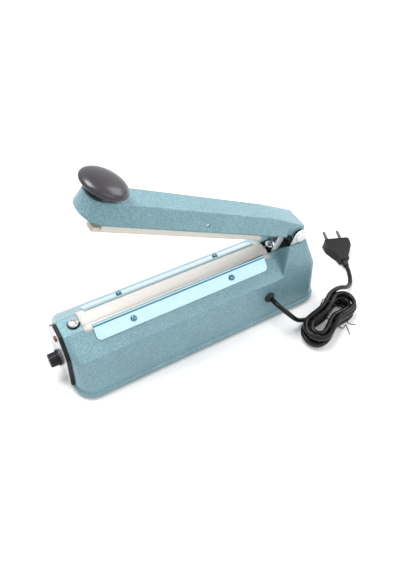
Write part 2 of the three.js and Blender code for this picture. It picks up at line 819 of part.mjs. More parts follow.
function hingePlate(far) {
  const foot = ledgeHeight + gap;
  const shoulder = rodHeight + rodRadius;
  const outline = [
    [pinX - plateHalfWidth, foot], [pinX + plateHalfWidth, foot], [pinX + plateHalfWidth, shoulder],
    ...arcPoints(pinX, pinHeight, plateTopRadius, 0, 180, 16), [pinX - plateHalfWidth, shoulder],
  ];
  const side = far ? 1 : -1;
  const plate = alongY(outline, Math.min(side * plateInner, side * plateOuter),
    Math.max(side * plateInner, side * plateOuter));
  const from = plateInner - overrun;
  const to = plateOuter + overrun;
  return cutBy(plate, [
    facingSide(disc(pinRadius + pinRunning, from, to, 24), pinX, pinHeight, far),
    facingSide(disc(rodRadius + gap, from, to, screwSides), rodX, rodHeight, far),
  ]);
}

const clipFrom = plateOuter + gap;
const clipTo = clipFrom + clipThickness;

function hingePin() {
  const head = plateOuter + gap;
  const groove = pinRadius * 0.85;
  return facingSide(turned([
    [0, -clipTo - gap * 3], [pinRadius, -clipTo - gap * 3], [pinRadius, -clipTo - gap],
    [groove, -clipTo - gap], [groove, gap - clipFrom], [pinRadius, gap - clipFrom], [pinRadius, head],
    [pinHeadRadius, head], [pinHeadRadius, head + pinHeadThickness * 0.7],
    [pinHeadRadius * 0.8, head + pinHeadThickness], [0, head + pinHeadThickness],
  ], 28), pinX, pinHeight);
}

// A round clip with a mouth, sprung into the pin's groove
function pinClip() {
  const ring = disc(clipRadius, clipFrom, clipTo, 28);
  const seat = pinRadius * 0.85 + fineGap;
  const bore = disc(seat, clipFrom - overrun, clipTo + overrun, 24);
  const mouth = block(0, clipRadius + overrun, -seat * 0.8, seat * 0.8, clipFrom - overrun, clipTo + overrun);
  return facingSide(cutBy(ring, [bore, mouth]), pinX, pinHeight, true);
}

function hingeSpacer(far) {
  const from = cheekOuter + gap;
  const to = plateInner - gap;
  const bore = disc(pinRadius + pinRunning, from - overrun, to + overrun, 24);
  return facingSide(disc(spacerRadius, from, to, 28).subtract(bore), pinX, pinHeight, far);
}

function springStud(far) {
  return facingSide(disc(rodRadius, studInner, wellHalfWidth + studSeat, 24), rodX, rodHeight, far);
}

for (const [side, far] of [['near', false], ['far', true]]) {
  place(`hinge_plate_${side}`, hingePlate(far), 'brightSteel');
  place(`hinge_spacer_${side}`, hingeSpacer(far), 'brightSteel');
  place(`spring_stud_${side}`, springStud(far), 'springSteel');
}
place('hinge_pin', hingePin(), 'brightSteel');
place('pin_clip', pinClip(), 'brightSteel');

// Return spring, one wire bent into two coils and a bow under the arm

// A round wire through points, closed by flat ends, made with one frame carried along it
function wire(points, radius, sides) {
  const along = points.map((point, i) => {
    const before = points[Math.max(i - 1, 0)];
    const after = points[Math.min(i + 1, points.length - 1)];
    return after.clone().sub(before).normalize();
  });
  const seed = Math.abs(along[0].z) < 0.9 ? new THREE.Vector3(0, 0, 1) : new THREE.Vector3(1, 0, 0);
  let normal = seed.clone().cross(along[0]).normalize();
  const vertices = [];
  points.forEach((point, i) => {
    normal = normal.clone().addScaledVector(along[i], -normal.dot(along[i])).normalize();
    const other = along[i].clone().cross(normal);
    for (let k = 0; k < sides; k += 1) {
      const angle = (k / sides) * Math.PI * 2;
      vertices.push(point.clone().addScaledVector(normal, radius * Math.cos(angle))
        .addScaledVector(other, radius * Math.sin(angle)));
    }
  });
  const faces = [];
  for (let i = 0; i + 1 < points.length; i += 1) {
    for (let k = 0; k < sides; k += 1) {
      const a = i * sides + k;
      const b = i * sides + (k + 1) % sides;
      faces.push(a, b, b + sides, a, b + sides, a + sides);
    }
  }
  const last = (points.length - 1) * sides;
  for (let k = 1; k + 1 < sides; k += 1) {
    faces.push(0, k + 1, k, last, last + k, last + k + 1);
  }
  const geometry = new THREE.BufferGeometry();
  geometry.setAttribute('position', new THREE.Float32BufferAttribute(vertices.flatMap((v) => v.toArray()), 3));
  geometry.setIndex(faces);
  return geometry;
}

// A point of the arm, d ahead of the pin and h above it, where the open arm holds it
function onOpenArm(d, h) {
  const angle = THREE.MathUtils.degToRad(openAngle);
  return [
    pinX - d * Math.cos(angle) + h * Math.sin(angle),
    pinHeight + d * Math.sin(angle) + h * Math.cos(angle),
  ];
}

function armTopAt(d) {
  const fall = (armTop - armTailTop) / (armSlopeStart + armTail);
  return armTop - Math.max(armSlopeStart - d, 0) * fall;
}

function springPath() {
  const roof = armTopAt(springReach) - armWall - gap - wireRadius;
  const [bowX, bowZ] = onOpenArm(springReach, roof);
  const distance = Math.hypot(bowX - rodX, bowZ - rodHeight);
  const leave = Math.atan2(bowZ - rodHeight, bowX - rodX) + Math.acos(coilRadius / distance);
  const turn = Math.PI * (2 * coilTurns + 1) - leave;
  const steps = Math.round((turn / (2 * Math.PI)) * coilSteps);
  const outer = coilInner + (turn / (2 * Math.PI)) * coilPitch;
  const half = [
    new THREE.Vector3(rodX - coilRadius, outer, springFootHeight),
    new THREE.Vector3(rodX - coilRadius, outer, between(springFootHeight, rodHeight, 0.9)),
  ];
  for (let i = 0; i <= steps; i += 1) {
    const share = i / steps;
    const angle = Math.PI - turn * share;
    half.push(new THREE.Vector3(rodX + coilRadius * Math.cos(angle), between(outer, coilInner, share),
      rodHeight + coilRadius * Math.sin(angle)));
  }
  const leg = half[half.length - 1];
  const bend = coilInner * 0.2;
  const ahead = new THREE.Vector3(bowX, coilInner, bowZ).sub(leg);
  half.push(leg.clone().addScaledVector(ahead, 1 - bend / ahead.length()));
  half.push(new THREE.Vector3(bowX, coilInner, bowZ).addScaledVector(ahead.normalize(), -bend * 0.3)
    .add(new THREE.Vector3(0, -bend * 0.3, 0)));
  half.push(new THREE.Vector3(bowX, coilInner - bend, bowZ));
  const mirrored = half.map((p) => new THREE.Vector3(p.x, -p.y, p.z)).reverse();
  return [...half, ...mirrored];
}

place('return_spring', wire(springPath(), wireRadius, 5), 'springSteel');

// Arm pieces are drawn closed, with the pin at their origin and -X ahead, in a group that opens them

const armSideSlope = (armBottomHalfWidth - armTopHalfWidth) / (armTop - armBottom);

function armHalfWidth(h) {
  return armBottomHalfWidth - (h - armBottom) * armSideSlope;
}

function armOutside() {
  const envelope = lofted([
    roundedRing(-armLength, armTail, armBottomHalfWidth, noseBottomRadius, overrun, armBottom),
    roundedRing(-armLength, armTail, armTopHalfWidth, noseTopRadius, overrun, armTop),
  ]);
  const side = [
    [-armLength - overrun, armBottom - overrun], [-bottomEdgeStart, armBottom - overrun],
    [-bottomEdgeStart, armBottom], [armTail, armTailBottom], [armTail + overrun, armTailBottom],
    [armTail + overrun, armTailTop], [armTail, armTailTop], [-armSlopeStart, armTop],
    [-armSlopeStart, armTop + overrun], [-armLength - overrun, armTop + overrun],
  ];
  return envelope.intersect(alongY(side, -armBottomHalfWidth - overrun, armBottomHalfWidth + overrun));
}

function armCavity() {
  const sideWall = armWall * Math.hypot(1, armSideSlope);
  const rear = -pocketRadius - armWall;
  const low = armBottom - overrun;
  const roof = armTop - armWall;
  const wide = lofted([
    roundedRing(armWall - armLength, rear, armHalfWidth(low) - sideWall, noseBottomRadius - armWall,
      overrun, low),
    roundedRing(armWall - armLength, rear, armHalfWidth(roof) - sideWall, noseTopRadius - armWall,
      overrun, roof),
  ]);
  const under = [
    [-armLength, low - overrun], [overrun, low - overrun], [overrun, armTopAt(0) - armWall],
    [-armSlopeStart, roof], [-armLength, roof],
  ];
  const main = wide.intersect(alongY(under, -armBottomHalfWidth, armBottomHalfWidth));
  const throat = block(rear - overrun, armTail + overrun, -cheekInner, cheekInner,
    -pocketRadius, hingeRoof);
  return main.add(throat);
}

function upperArm() {
  const cheeks = [false, true].map((far) => facingSide(disc(cheekRadius, cheekInner, cheekOuter, 32), 0, 0, far));
  const reach = armBottomHalfWidth + overrun;
  const pockets = [false, true].map((far) => facingSide(disc(pocketRadius, cheekOuter, reach, 48), 0, 0, far));
  const bore = facingSide(disc(pinRadius + pinRunning, -reach, reach, 28), 0, 0);
  const barBore = facingSide(disc(barPivotRadius + fineGap, -reach, reach, 20), -barPivot, barPivotHeight);
  const screwBore = disc(knobScrewRadius + gap, hingeRoof, armTop + overrun, 20)
    .translate([-knobPlace, 0, 0]);
  const [screwX, screwY] = strikerScrewPlace;
  const strikerBore = disc(strikerScrewRadius + gap, hingeRoof - overrun, hingeRoof + strikerScrewSeat + gap,
    screwSides).translate([screwX, screwY, 0]);
  const shell = armOutside().add(cheeks[0]).add(cheeks[1]);
  return cutBy(shell, [...pockets, armCavity(), bore, barBore, screwBore, strikerBore]);
}

function pressKnob() {
  const base = armTop + gap;
  const neckStart = base + knobFlangeHeight;
  const arc = (height, from, to, steps) => arcPoints(0, 0, 1, from, to, steps)
    .map(([c, s]) => [knobRadius * c, knobRimHeight + height * s]);
  const neckAngle = THREE.MathUtils.radToDeg(Math.acos(knobNeckRadius / knobRadius));
  const belly = arc(knobBelly, -neckAngle, 0, 8);
  const crown = arc(knobCrown, 0, 90, 12).slice(1, -1);
  const knob = turned([
    [0, base], [knobFlangeRadius, base], [knobFlangeRadius, neckStart - gap * 2],
    [knobNeckRadius, neckStart], ...belly, ...crown, [0, knobRimHeight + knobCrown],
  ], knobSides);
  const bore = disc(knobScrewRadius + gap, base - overrun, base + knobScrewReach + gap, 20);
  return knob.subtract(bore).translate([-knobPlace, 0, 0]);
}

function knobScrew() {
  const seat = armTop - armWall - gap;
  return turned([
    [0, seat - knobScrewHeadHeight], [knobScrewHead * 0.8, seat - knobScrewHeadHeight],
    [knobScrewHead, seat - knobScrewHeadHeight * 0.7], [knobScrewHead, seat], [knobScrewRadius, seat],
    [knobScrewRadius, armTop + knobScrewReach], [0, armTop + knobScrewReach],
  ], 20).translate([-knobPlace, 0, 0]);
}

const strikerOuter = strikerInner + strikerThickness;
const strikerTop = hingeRoof - gap;

function switchStriker() {
  const blade = alongY([
    [-strikerFront, strikerTop], [-strikerFront, strikerKnee], [-strikerTipFront, strikerFoot],
    [-strikerTipRear, strikerFoot], [-strikerRear, strikerKnee], [-strikerRear, strikerTop],
  ], -strikerOuter, -strikerInner);
  const flange = block(-strikerFront, -strikerRear, -strikerOuter, strikerFlange - strikerOuter,
    strikerTop - strikerThickness, strikerTop);
  const [x, y] = strikerScrewPlace;
  const hole = disc(strikerScrewRadius + gap, strikerTop - strikerThickness - overrun,
    strikerTop + overrun, screwSides);
  return blade.add(flange).subtract(hole.translate([x, y, 0]));
}

function strikerScrew() {
  const seat = strikerTop - strikerThickness - gap;
  const [x, y] = strikerScrewPlace;
  return turned([
    [0, seat - strikerScrewHeadHeight], [strikerScrewHead * 0.8, seat - strikerScrewHeadHeight],
    [strikerScrewHead, seat - strikerScrewHeadHeight * 0.6], [strikerScrewHead, seat],
    [strikerScrewRadius, seat], [strikerScrewRadius, hingeRoof + strikerScrewSeat],
    [0, hingeRoof + strikerScrewSeat],
  ], screwSides).translate([x, y, 0]);
}

function barPivotPin() {
  const reach = armHalfWidth(barPivotHeight + barPivotRadius) - fineGap;
  return facingSide(disc(barPivotRadius, -reach, reach, 20), -barPivot, barPivotHeight);
}

// Box section with a seat for the silicone strip, and a hanger up to its pivot pin
function pressureBar() {
  const seatTop = barBottom + siliconeSeat + gap;
  const inside = barHalfWidth - barWall;
  const section = alongX(rectangle(-barHalfWidth, barHalfWidth, barBottom, barTop), -barFront, -barRear);
  const chamber = alongX(rectangle(-inside, inside, seatTop + barWall, barTop - barWall),
    -barFront - overrun, -barRear + overrun);
  const seat = alongX(rectangle(-siliconeHalfWidth - gap, siliconeHalfWidth + gap, barBottom - overrun,
    seatTop), -barFront - overrun, -barRear + overrun);
  const hanger = alongY([
    [-barPivot - lugHalfLength, barTop - barWall / 2], [-barPivot + lugHalfLength, barTop - barWall / 2],
    ...arcPoints(-barPivot, barPivotHeight, lugTopRadius, 0, 180, 12),
  ], -barHalfWidth, barHalfWidth);
  const bore = facingSide(disc(barPivotRadius + pinRunning, -barHalfWidth - overrun,
    barHalfWidth + overrun, 20), -barPivot, barPivotHeight);
  return cutBy(section, [chamber, seat]).add(hanger).subtract(bore);
}

function siliconeStrip() {
  const crown = siliconeHalfWidth * 0.85;
  const shoulder = between(siliconeBottom, barBottom, 0.3);
  return alongX([
    [-siliconeHalfWidth, shoulder], [-crown, siliconeBottom], [crown, siliconeBottom],
    [siliconeHalfWidth, shoulder], [siliconeHalfWidth, barBottom + siliconeSeat],
    [-siliconeHalfWidth, barBottom + siliconeSeat],
  ], -siliconeFront, -siliconeRear);
}

place('upper_arm', upperArm(), 'hammertone', arm);
place('press_knob', pressKnob(), 'knobPlastic', arm);
place('knob_screw', knobScrew(), 'brightSteel', arm);
place('switch_striker', switchStriker(), 'brightSteel', arm);
place('striker_screw', strikerScrew(), 'brightSteel', arm);
place('bar_pivot_pin', barPivotPin(), 'brightSteel', arm);
place('pressure_bar', pressureBar(), 'whiteBar', arm);
place('silicone_strip', siliconeStrip(), 'silicone', arm);
arm.position.set(pinX, 0, pinHeight);
arm.rotation.y = THREE.MathUtils.degToRad(openAngle);

// Sealing bed on the deck

const stripTop = deckHeight + fineGap + stripThickness;
const elementBottom = stripTop + fineGap;
const elementTop = elementBottom + elementThickness;
const elementFrom = frontTerminal + terminalRadius + gap * 2;
const elementTo = rearTerminal - terminalRadius - gap * 2;

function bedStrip() {
  return block(stripFront, stripRear, -stripHalfWidth, stripHalfWidth, stripTop - stripThickness, stripTop);
}

function heatingElement() {
  return block(elementFrom, elementTo, -elementHalfWidth, elementHalfWidth, elementBottom, elementTop);
}

// The cloth lies over the element and hangs a little way down both slopes
function clothOutline(lift) {
  const shoulder = stripHalfWidth + gap * 2;
  const high = elementTop + fineGap + lift;
  const low = deckHeight + fineGap + lift;
  const half = [
    [elementHalfWidth + gap * 2, high], [stripHalfWidth + gap, stripTop + fineGap + lift],
    [shoulder + gap * 2, low], [deckHalfWidth + lift * slopeDown / 2, low],
    onSlope(1, clothDrop, fineGap + lift),
  ];
  return [...half.map(([y, z]) => [-y, z]).reverse(), ...half];
}

function ptfeCloth() {
  const top = clothOutline(clothThickness);
  const bottom = clothOutline(0);
  return alongX([...bottom, ...top.reverse()], clothFront, clothRear);
}

// A bent strip with a flange on the deck and rounded lower corners
function clampPlate(side) {
  const flangeBottom = deckHeight + clampOut;
  const flangeTop = flangeBottom + clampThickness;
  const inner = deckHalfWidth - clampFlange;
  const profile = [
    [side * inner, flangeBottom], [side * (deckHalfWidth + clampOut * slopeDown / 2), flangeBottom],
    onSlope(side, clampSlopeLength, clampOut), onSlope(side, clampSlopeLength, clampOut + clampThickness),
    [side * (deckHalfWidth + (clampOut + clampThickness) * slopeDown / 2), flangeTop],
    [side * inner, flangeTop],
  ];
  const plate = alongX(side > 0 ? profile : profile.reverse(), clampFront, clampRear);
  const hole = ([x]) => onClamp(disc(clampScrewRadius + gap, -overrun, overrun * 2, screwSides), x, side);
  const holes = clampScrewPlaces.filter((spot) => spot[1] === side).map(hole);
  return cutBy(plate, [...holes, clampCorner(side, clampFront, 1), clampCorner(side, clampRear, -1)]);
}

// What rounds off a lower corner of a clamp plate, cut square to the slope
function clampCorner(side, x, inward) {
  const r = clampCornerRadius;
  const square = alongZ(rectangle(-overrun, r, -overrun, r), -overrun, overrun * 2);
  const round = disc(r, -overrun * 2, overrun * 3, 32).translate([r, r, 0]);
  const scale = [inward, side, 1];
  const [y, z] = onSlope(side, clampSlopeLength, 0);
  return square.subtract(round).scale([1, -1, 1]).scale(scale)
    .rotate([-side * slopeTilt, 0, 0]).translate([x, y, z]);
}

function clampScrew(x, side) {
  const seat = clampOut + clampThickness + gap;
  const top = seat + clampScrewHeadHeight;
  return onClamp(turned([
    [0, -clampScrewReach], [clampScrewRadius, -clampScrewReach], [clampScrewRadius, seat],
    [clampScrewHead, seat], [clampScrewHead, seat + clampScrewHeadHeight / 2],
    [clampScrewHead * 0.7, top - gap / 2], [0, top],
  ], screwSides), x, side);
}

// Terminals at both ends of the element, on insulators that stand in the casting

function terminalScrew(x, seat, reach) {
  const top = seat + terminalHeadHeight;
  return turned([
    [0, seat - reach], [terminalRadius, seat - reach], [terminalRadius, seat],
    [terminalHead, seat], [terminalHead, seat + terminalHeadHeight * 0.5],
    [terminalHead * 0.75, top - gap], [0, top],
  ], 24).translate([x, 0, 0]);
}

const bushTop = elementBottom - fineGap;
const frontSeat = elementTop + fineGap;

function terminalBush() {
  const flange = bushTop - bushFlange;
  const bush = turned([
    [0, bushTop - bushDepth], [bushNeck, bushTop - bushDepth], [bushNeck, flange],
    [bushRadius, flange], [bushRadius, bushTop], [0, bushTop],
  ], 28);
  const bore = disc(terminalRadius + gap, bushTop - bushDepth - overrun, bushTop + overrun, 20);
  return bush.subtract(bore).translate([frontTerminal, 0, 0]);
}

// The rear insulator hooks under the deck on the far side, clear of the striker
function terminalBlock() {
  const upper = block(rearTerminal - blockHalfLength, rearTerminal + blockHalfLength,
    -blockHalfWidth, blockHalfWidth, blockFootTop - blockFootHeight, bushTop);
  const foot = block(rearTerminal - blockHalfLength, rearTerminal + blockHalfLength,
    -blockHalfWidth, blockFootSide, blockFootTop - blockFootHeight, blockFootTop);
  const bore = disc(terminalRadius + gap, bushTop - bushDepth, bushTop + overrun, 20);
  return upper.add(foot).subtract(bore.translate([rearTerminal, 0, 0]));
}

place('bed_strip', bedStrip(), 'silicone');
place('heating_element', heatingElement(), 'resistance');
place('ptfe_cloth', ptfeCloth(), 'cloth');
place('clamp_plate_near', clampPlate(-1), 'clampSteel');
place('clamp_plate_far', clampPlate(1), 'clampSteel');
clampScrewPlaces.forEach(([x, side], i) => {
  place(`clamp_screw_${i + 1}`, clampScrew(x, side), 'brightSteel');
});
place('terminal_bush', terminalBush(), 'blackPlastic');
place('terminal_block', terminalBlock(), 'blackPlastic');
place('terminal_screw_front', terminalScrew(frontTerminal, frontSeat, bushDepth), 'brightSteel');
place('terminal_screw_rear', terminalScrew(rearTerminal, frontSeat, bushDepth - gap), 'brightSteel');

// Mains lead: grommet, free stretches, hank, tie and plug

function cordGrommet() {
  const nose = grommetFlange + grommetNoseLength;
  const back = castingWall + gap * 2;
  const inside = back + grommetFlange * 0.6;
  return grommetTurned([
    [0, -inside], [grommetNeck + gap * 2, -inside], [grommetNeck + gap * 2, -back],
    [grommetNeck, -back], [grommetNeck, gap], [grommetRadius, gap],
    [grommetRadius, grommetFlange * 0.7], [grommetRadius * 0.93, grommetFlange],
    [grommetNose, grommetFlange], [grommetNose * 0.93, nose], [0, nose],
  ]);
}

function vector([x, y, z]) {
  return new THREE.Vector3(x, y, z);
}

function cordSection() {
  return shapeOf(arcPoints(0, 0, cordRadius, 0, 360, cordSides).slice(0, -1));
}

function tubeThrough(points) {
  const curve = new THREE.CatmullRomCurve3(points, false, 'centripetal');
  const length = curve.getLength();
  const steps = Math.ceil(length / (cordRadius * 5));
  report('stretch of the lead', length);
  return new THREE.ExtrudeGeometry(cordSection(), { steps, bevelEnabled: false, extrudePath: curve });
}

function report(what, length) {
  console.log(`${what}: ${length.toFixed(2)} mm`);
}

const lobeRadius = hankHalfWidth - cordRadius;
const runHalfLength = hankLength / 2 - hankHalfWidth;
const tieWaistShare = Math.cos((Math.PI * tiePlace) / (runHalfLength * 2)) ** 2;
const hankLift = (tieRadius * 2 + tieGap * 2) / tieWaistShare;

// How far a turn lies inside the outermost one, in and out again once every two layers
function hankInset(loops) {
  if (loops > hankLoops) return hankPitch * (hankLoops - loops);
  const perLayer = hankLoops / hankLayers;
  const phase = (loops / perLayer) % 2;
  return hankPitch * perLayer * (phase < 1 ? phase : 2 - phase);
}

// The layer climbs by one in the half turn where the spiral reverses
function hankHeight(loops) {
  const perLayer = hankLoops / hankLayers;
  let height = cordRadius;
  for (let layer = 1; layer < hankLayers; layer += 1) {
    const share = THREE.MathUtils.clamp((loops - perLayer * layer) * 2 + 0.5, 0, 1);
    height += hankRise * THREE.MathUtils.smoothstep(share, 0, 1);
  }
  return height;
}

// A point of the hank after a number of loops, on a long oval drawn in at its waist
function hankPoint(loops) {
  const radius = lobeRadius - hankInset(loops);
  const run = runHalfLength * 2;
  const bend = Math.PI * radius;
  const around = (run + bend) * 2;
  const travelled = (((loops % 1) + 1) % 1) * around + run / 2;
  const half = travelled % (run + bend);
  const upper = Math.floor(travelled / (run + bend)) % 2 === 0 ? 1 : -1;
  let x = half - run / 2;
  let y = radius;
  let lift = 0;
  if (half < run) {
    const waist = Math.cos((Math.PI * x) / run) ** 2;
    y -= hankDrawIn * waist;
    lift = hankLift * waist;
  } else {
    const angle = (half - run) / radius;
    x = run / 2 + radius * Math.sin(angle);
    y = radius * Math.cos(angle);
  }
  return onHank(upper * x, upper * y, hankHeight(loops) + lift);
}

function onHank(x, y, z) {
  const turn = THREE.MathUtils.degToRad(hankTurn);
  return new THREE.Vector3(
    hankX + x * Math.cos(turn) - y * Math.sin(turn),
    hankY + x * Math.sin(turn) + y * Math.cos(turn), z);
}

function hankPoints() {
  const loops = hankLoops + hankEndShare;
  const steps = Math.round(loops * hankSteps);
  const points = Array.from({ length: steps + 1 }, (_, i) => hankPoint((loops * i) / steps));
  const straight = onHank(cordRadius * 2, 0, 0).sub(onHank(0, 0, 0));
  const first = points[0].clone().sub(straight);
  const last = points[points.length - 1].clone().add(straight);
  return [first, ...points, last];
}

function leastGap(points) {
  const apart = Math.round(hankSteps / 3);
  let least = Infinity;
  for (let i = 0; i + 1 < points.length; i += 1) {
    for (let j = i + apart; j + 1 < points.length; j += 1) {
      least = Math.min(least, distanceOfRuns(points[i], points[i + 1], points[j], points[j + 1]));
    }
  }
  return least - cordRadius * 2;
}

// The least distance between two short runs, on five points of each
function distanceOfRuns(a, b, c, d) {
  let least = Infinity;
  for (let i = 0; i <= 4; i += 1) {
    const p = a.clone().lerp(b, i / 4);
    const q = new THREE.Line3(c, d).closestPointToPoint(p, true, new THREE.Vector3());
    least = Math.min(least, p.distanceTo(q));
  }
  return least;
}

function lengthOf(points) {
  return points.reduce((sum, point, i) => (i === 0 ? 0 : sum + point.distanceTo(points[i - 1])), 0);
}

// The tie goes once round the waist and is twisted at the near side, where both ends stand out
function twistTie() {
  const reach = cordRadius + tieGap + tieRadius;
  const wide = lobeRadius - hankDrawIn * tieWaistShare + hankPitch * hankEndShare + reach;
  const low = tieRadius;
  const high = hankHeight(hankLoops) + hankLift + reach;
  const corner = reach;
  const nip = corner * 0.3;
  const ring = [
    [-wide, high * 0.4], [-wide, low + corner], [nip - wide, low + nip], [corner - wide, low],
    [wide - corner, low], [wide - nip, low + nip], [wide, low + corner],
    [wide, high - corner], [wide - nip, high - nip], [wide - corner, high],
    [corner - wide, high], [nip - wide, high - nip], [-wide, high - corner], [-wide, high * 0.5],
  ];
  const side = tieRadius * 2 + tieGap;
  const points = ring.map(([y, z], i) => onHank(tiePlace + side * (i / (ring.length - 1)), y, z));
  const tail = (x, y, z) => onHank(tiePlace + x, -wide - y, z);
  return wire([
    tail(-tieTail * 0.5, tieTail, high * 0.22), tail(-side, tieTail * 0.4, high * 0.32),
    ...points,
    tail(side * 1.5, tieTail * 0.4, high * 0.5), tail(tieTail * 0.7, tieTail * 0.8, high * 0.42),
  ], tieRadius, 6);
}

function plugDirection() {
  const angle = THREE.MathUtils.degToRad(plugTurn);
  return new THREE.Vector3(Math.sin(angle), Math.cos(angle), 0);
}

const plugAxisHeight = plugThickness / 2;

// Plug pieces are drawn along +Y from where the lead enters, and then turned to their place
function onPlug(solid) {
  return solid.rotate([0, 0, -plugTurn]).translate([plugX, plugY, plugAxisHeight]);
}

function plugBody() {
  const half = plugWidth / 2;
  const neck = plugNeckWidth / 2;
  const start = reliefLength;
  const face = start + plugLength;
  const outline = [
    [-neck, start - gap], [neck, start - gap], [neck * 1.15, between(start, face, 0.14)],
    [between(neck, half, 0.42), between(start, face, 0.33)],
    [between(neck, half, 0.9), between(start, face, 0.6)], [half, between(start, face, 0.76)],
    [half, between(start, face, 0.95)], [half - gap * 4, face],
    [gap * 4 - half, face], [-half, between(start, face, 0.95)], [-half, between(start, face, 0.76)],
    [-between(neck, half, 0.9), between(start, face, 0.6)],
    [-between(neck, half, 0.42), between(start, face, 0.33)],
    [-neck * 1.15, between(start, face, 0.14)],
  ];
  const thick = plugThickness / 2;
  const plan = alongZ(outline, -thick, thick);
  const side = alongX([
    [start - overrun, -neck], [between(start, face, 0.25), -thick * 0.86], [between(start, face, 0.55), -thick],
    [face + overrun, -thick], [face + overrun, thick], [between(start, face, 0.55), thick],
    [between(start, face, 0.25), thick * 0.86], [start - overrun, neck],
  ], -plugWidth, plugWidth);
  const relief = turned([
    [0, gap], [cordRadius + gap * 2, gap], [reliefRadius, reliefLength], [reliefRadius, start + overrun],
    [0, start + overrun],
  ], 20).rotate([-90, 0, 0]);
  const holes = [-1, 1].map((way) => plugPinBore(way, face));
  return onPlug(cutBy(plan.intersect(side).add(relief), holes));
}

function plugPinBore(way, face) {
  return disc(plugPinRadius + gap, face - plugPinDepth - gap, face + overrun, 20)
    .rotate([-90, 0, 0]).translate([(way * plugPinSpacing) / 2, 0, 0]);
}

function plugPin(way) {
  const face = reliefLength + plugLength;
  const tip = face + plugPinLength;
  return onPlug(turned([
    [0, face - plugPinDepth], [plugPinRadius, face - plugPinDepth], [plugPinRadius, tip - plugPinRadius],
    [plugPinRadius * 0.7, tip - plugPinRadius * 0.3], [0, tip],
  ], 20).rotate([-90, 0, 0]).translate([(way * plugPinSpacing) / 2, 0, 0]));
}

function leadStretch(hankStart, towardsHank) {
  const out = new THREE.Vector3(0, -Math.cos(THREE.MathUtils.degToRad(wallTilt)),
    Math.sin(THREE.MathUtils.degToRad(wallTilt)));
  const root = new THREE.Vector3(grommetX, -wallHalfWidth(grommetHeight), grommetHeight);
  const nose = grommetFlange + grommetNoseLength + gap;
  const exit = root.clone().addScaledVector(out, nose);
  const straight = root.clone().addScaledVector(out, nose + cordRadius * 2);
  const arrive = hankStart.clone().addScaledVector(towardsHank, -gap);
  const before = hankStart.clone().addScaledVector(towardsHank, -gap - cordRadius * 2);
  return [exit, straight, ...leadRoute.map(vector), before, arrive];
}

function tailStretch(hankEnd, fromHank) {
  const leave = hankEnd.clone().addScaledVector(fromHank, gap);
  const after = hankEnd.clone().addScaledVector(fromHank, gap + cordRadius * 2);
  const plug = new THREE.Vector3(plugX, plugY, plugAxisHeight);
  const before = plug.clone().addScaledVector(plugDirection(), -cordRadius * 2);
  return [leave, after, ...tailRoute.map(vector), before, plug];
}

const turnsOfHank = hankPoints();
const alongHank = onHank(1, 0, 0).sub(onHank(0, 0, 0));
report('least gap of the hank to itself', leastGap(turnsOfHank));
report('lead in the hank', lengthOf(turnsOfHank));
place('cord_grommet', cordGrommet(), 'rubber');
place('mains_cord', tubeThrough(leadStretch(turnsOfHank[0], alongHank)), 'cordSheath');
place('cord_hank', wire(turnsOfHank, cordRadius, hankSides), 'cordSheath');
place('cord_tail', tubeThrough(tailStretch(turnsOfHank[turnsOfHank.length - 1], alongHank)), 'cordSheath');
place('twist_tie', twistTie(), 'blackPlastic');
place('plug_body', plugBody(), 'blackPlastic');
place('plug_pin_1', plugPin(-1), 'brightSteel');
place('plug_pin_2', plugPin(1), 'brightSteel');

// The origin lies on the floor, under the middle of the sealer without its lead
sealer.position.x = -(castingRear + lipReach - knobEnd) / 2;

export default sealer;
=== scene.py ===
"""Hand impulse heat sealer for plastic bags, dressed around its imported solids.

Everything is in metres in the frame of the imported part: +X runs from the dial end to the
hinge end, +Y away from the side where the lead comes out, and +Z up from the counter.
"""

from __future__ import annotations

import json
import logging
import math
from dataclasses import dataclass, field, replace
from enum import Enum
from typing import Any, Sequence

import bmesh
import bpy
from mathutils import Matrix, Vector

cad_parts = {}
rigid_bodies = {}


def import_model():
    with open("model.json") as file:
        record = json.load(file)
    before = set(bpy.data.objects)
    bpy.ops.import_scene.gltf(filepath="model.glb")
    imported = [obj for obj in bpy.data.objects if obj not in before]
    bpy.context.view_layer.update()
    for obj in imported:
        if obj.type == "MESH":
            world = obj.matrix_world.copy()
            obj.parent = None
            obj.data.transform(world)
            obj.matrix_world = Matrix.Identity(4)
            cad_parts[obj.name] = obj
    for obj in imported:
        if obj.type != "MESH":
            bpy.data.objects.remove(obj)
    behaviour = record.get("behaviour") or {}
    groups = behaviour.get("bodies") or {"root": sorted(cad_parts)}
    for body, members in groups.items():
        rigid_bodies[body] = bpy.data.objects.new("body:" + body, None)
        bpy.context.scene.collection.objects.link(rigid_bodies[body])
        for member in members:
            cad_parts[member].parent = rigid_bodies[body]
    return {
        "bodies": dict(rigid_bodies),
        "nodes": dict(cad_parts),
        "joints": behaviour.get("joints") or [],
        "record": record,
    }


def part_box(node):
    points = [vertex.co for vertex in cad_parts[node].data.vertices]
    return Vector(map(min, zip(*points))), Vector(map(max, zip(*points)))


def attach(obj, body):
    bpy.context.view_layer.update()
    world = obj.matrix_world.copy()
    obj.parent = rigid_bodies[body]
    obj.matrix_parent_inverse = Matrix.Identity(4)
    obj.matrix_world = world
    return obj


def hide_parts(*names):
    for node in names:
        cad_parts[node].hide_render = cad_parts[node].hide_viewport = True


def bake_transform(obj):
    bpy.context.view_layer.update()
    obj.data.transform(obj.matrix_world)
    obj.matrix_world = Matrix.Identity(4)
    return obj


log = logging.getLogger("heat_sealer")

Tree = bpy.types.NodeTree
Socket = bpy.types.NodeSocket
Shape = bmesh.types.BMesh
Point = tuple[float, float, float]
Flat = tuple[float, float]

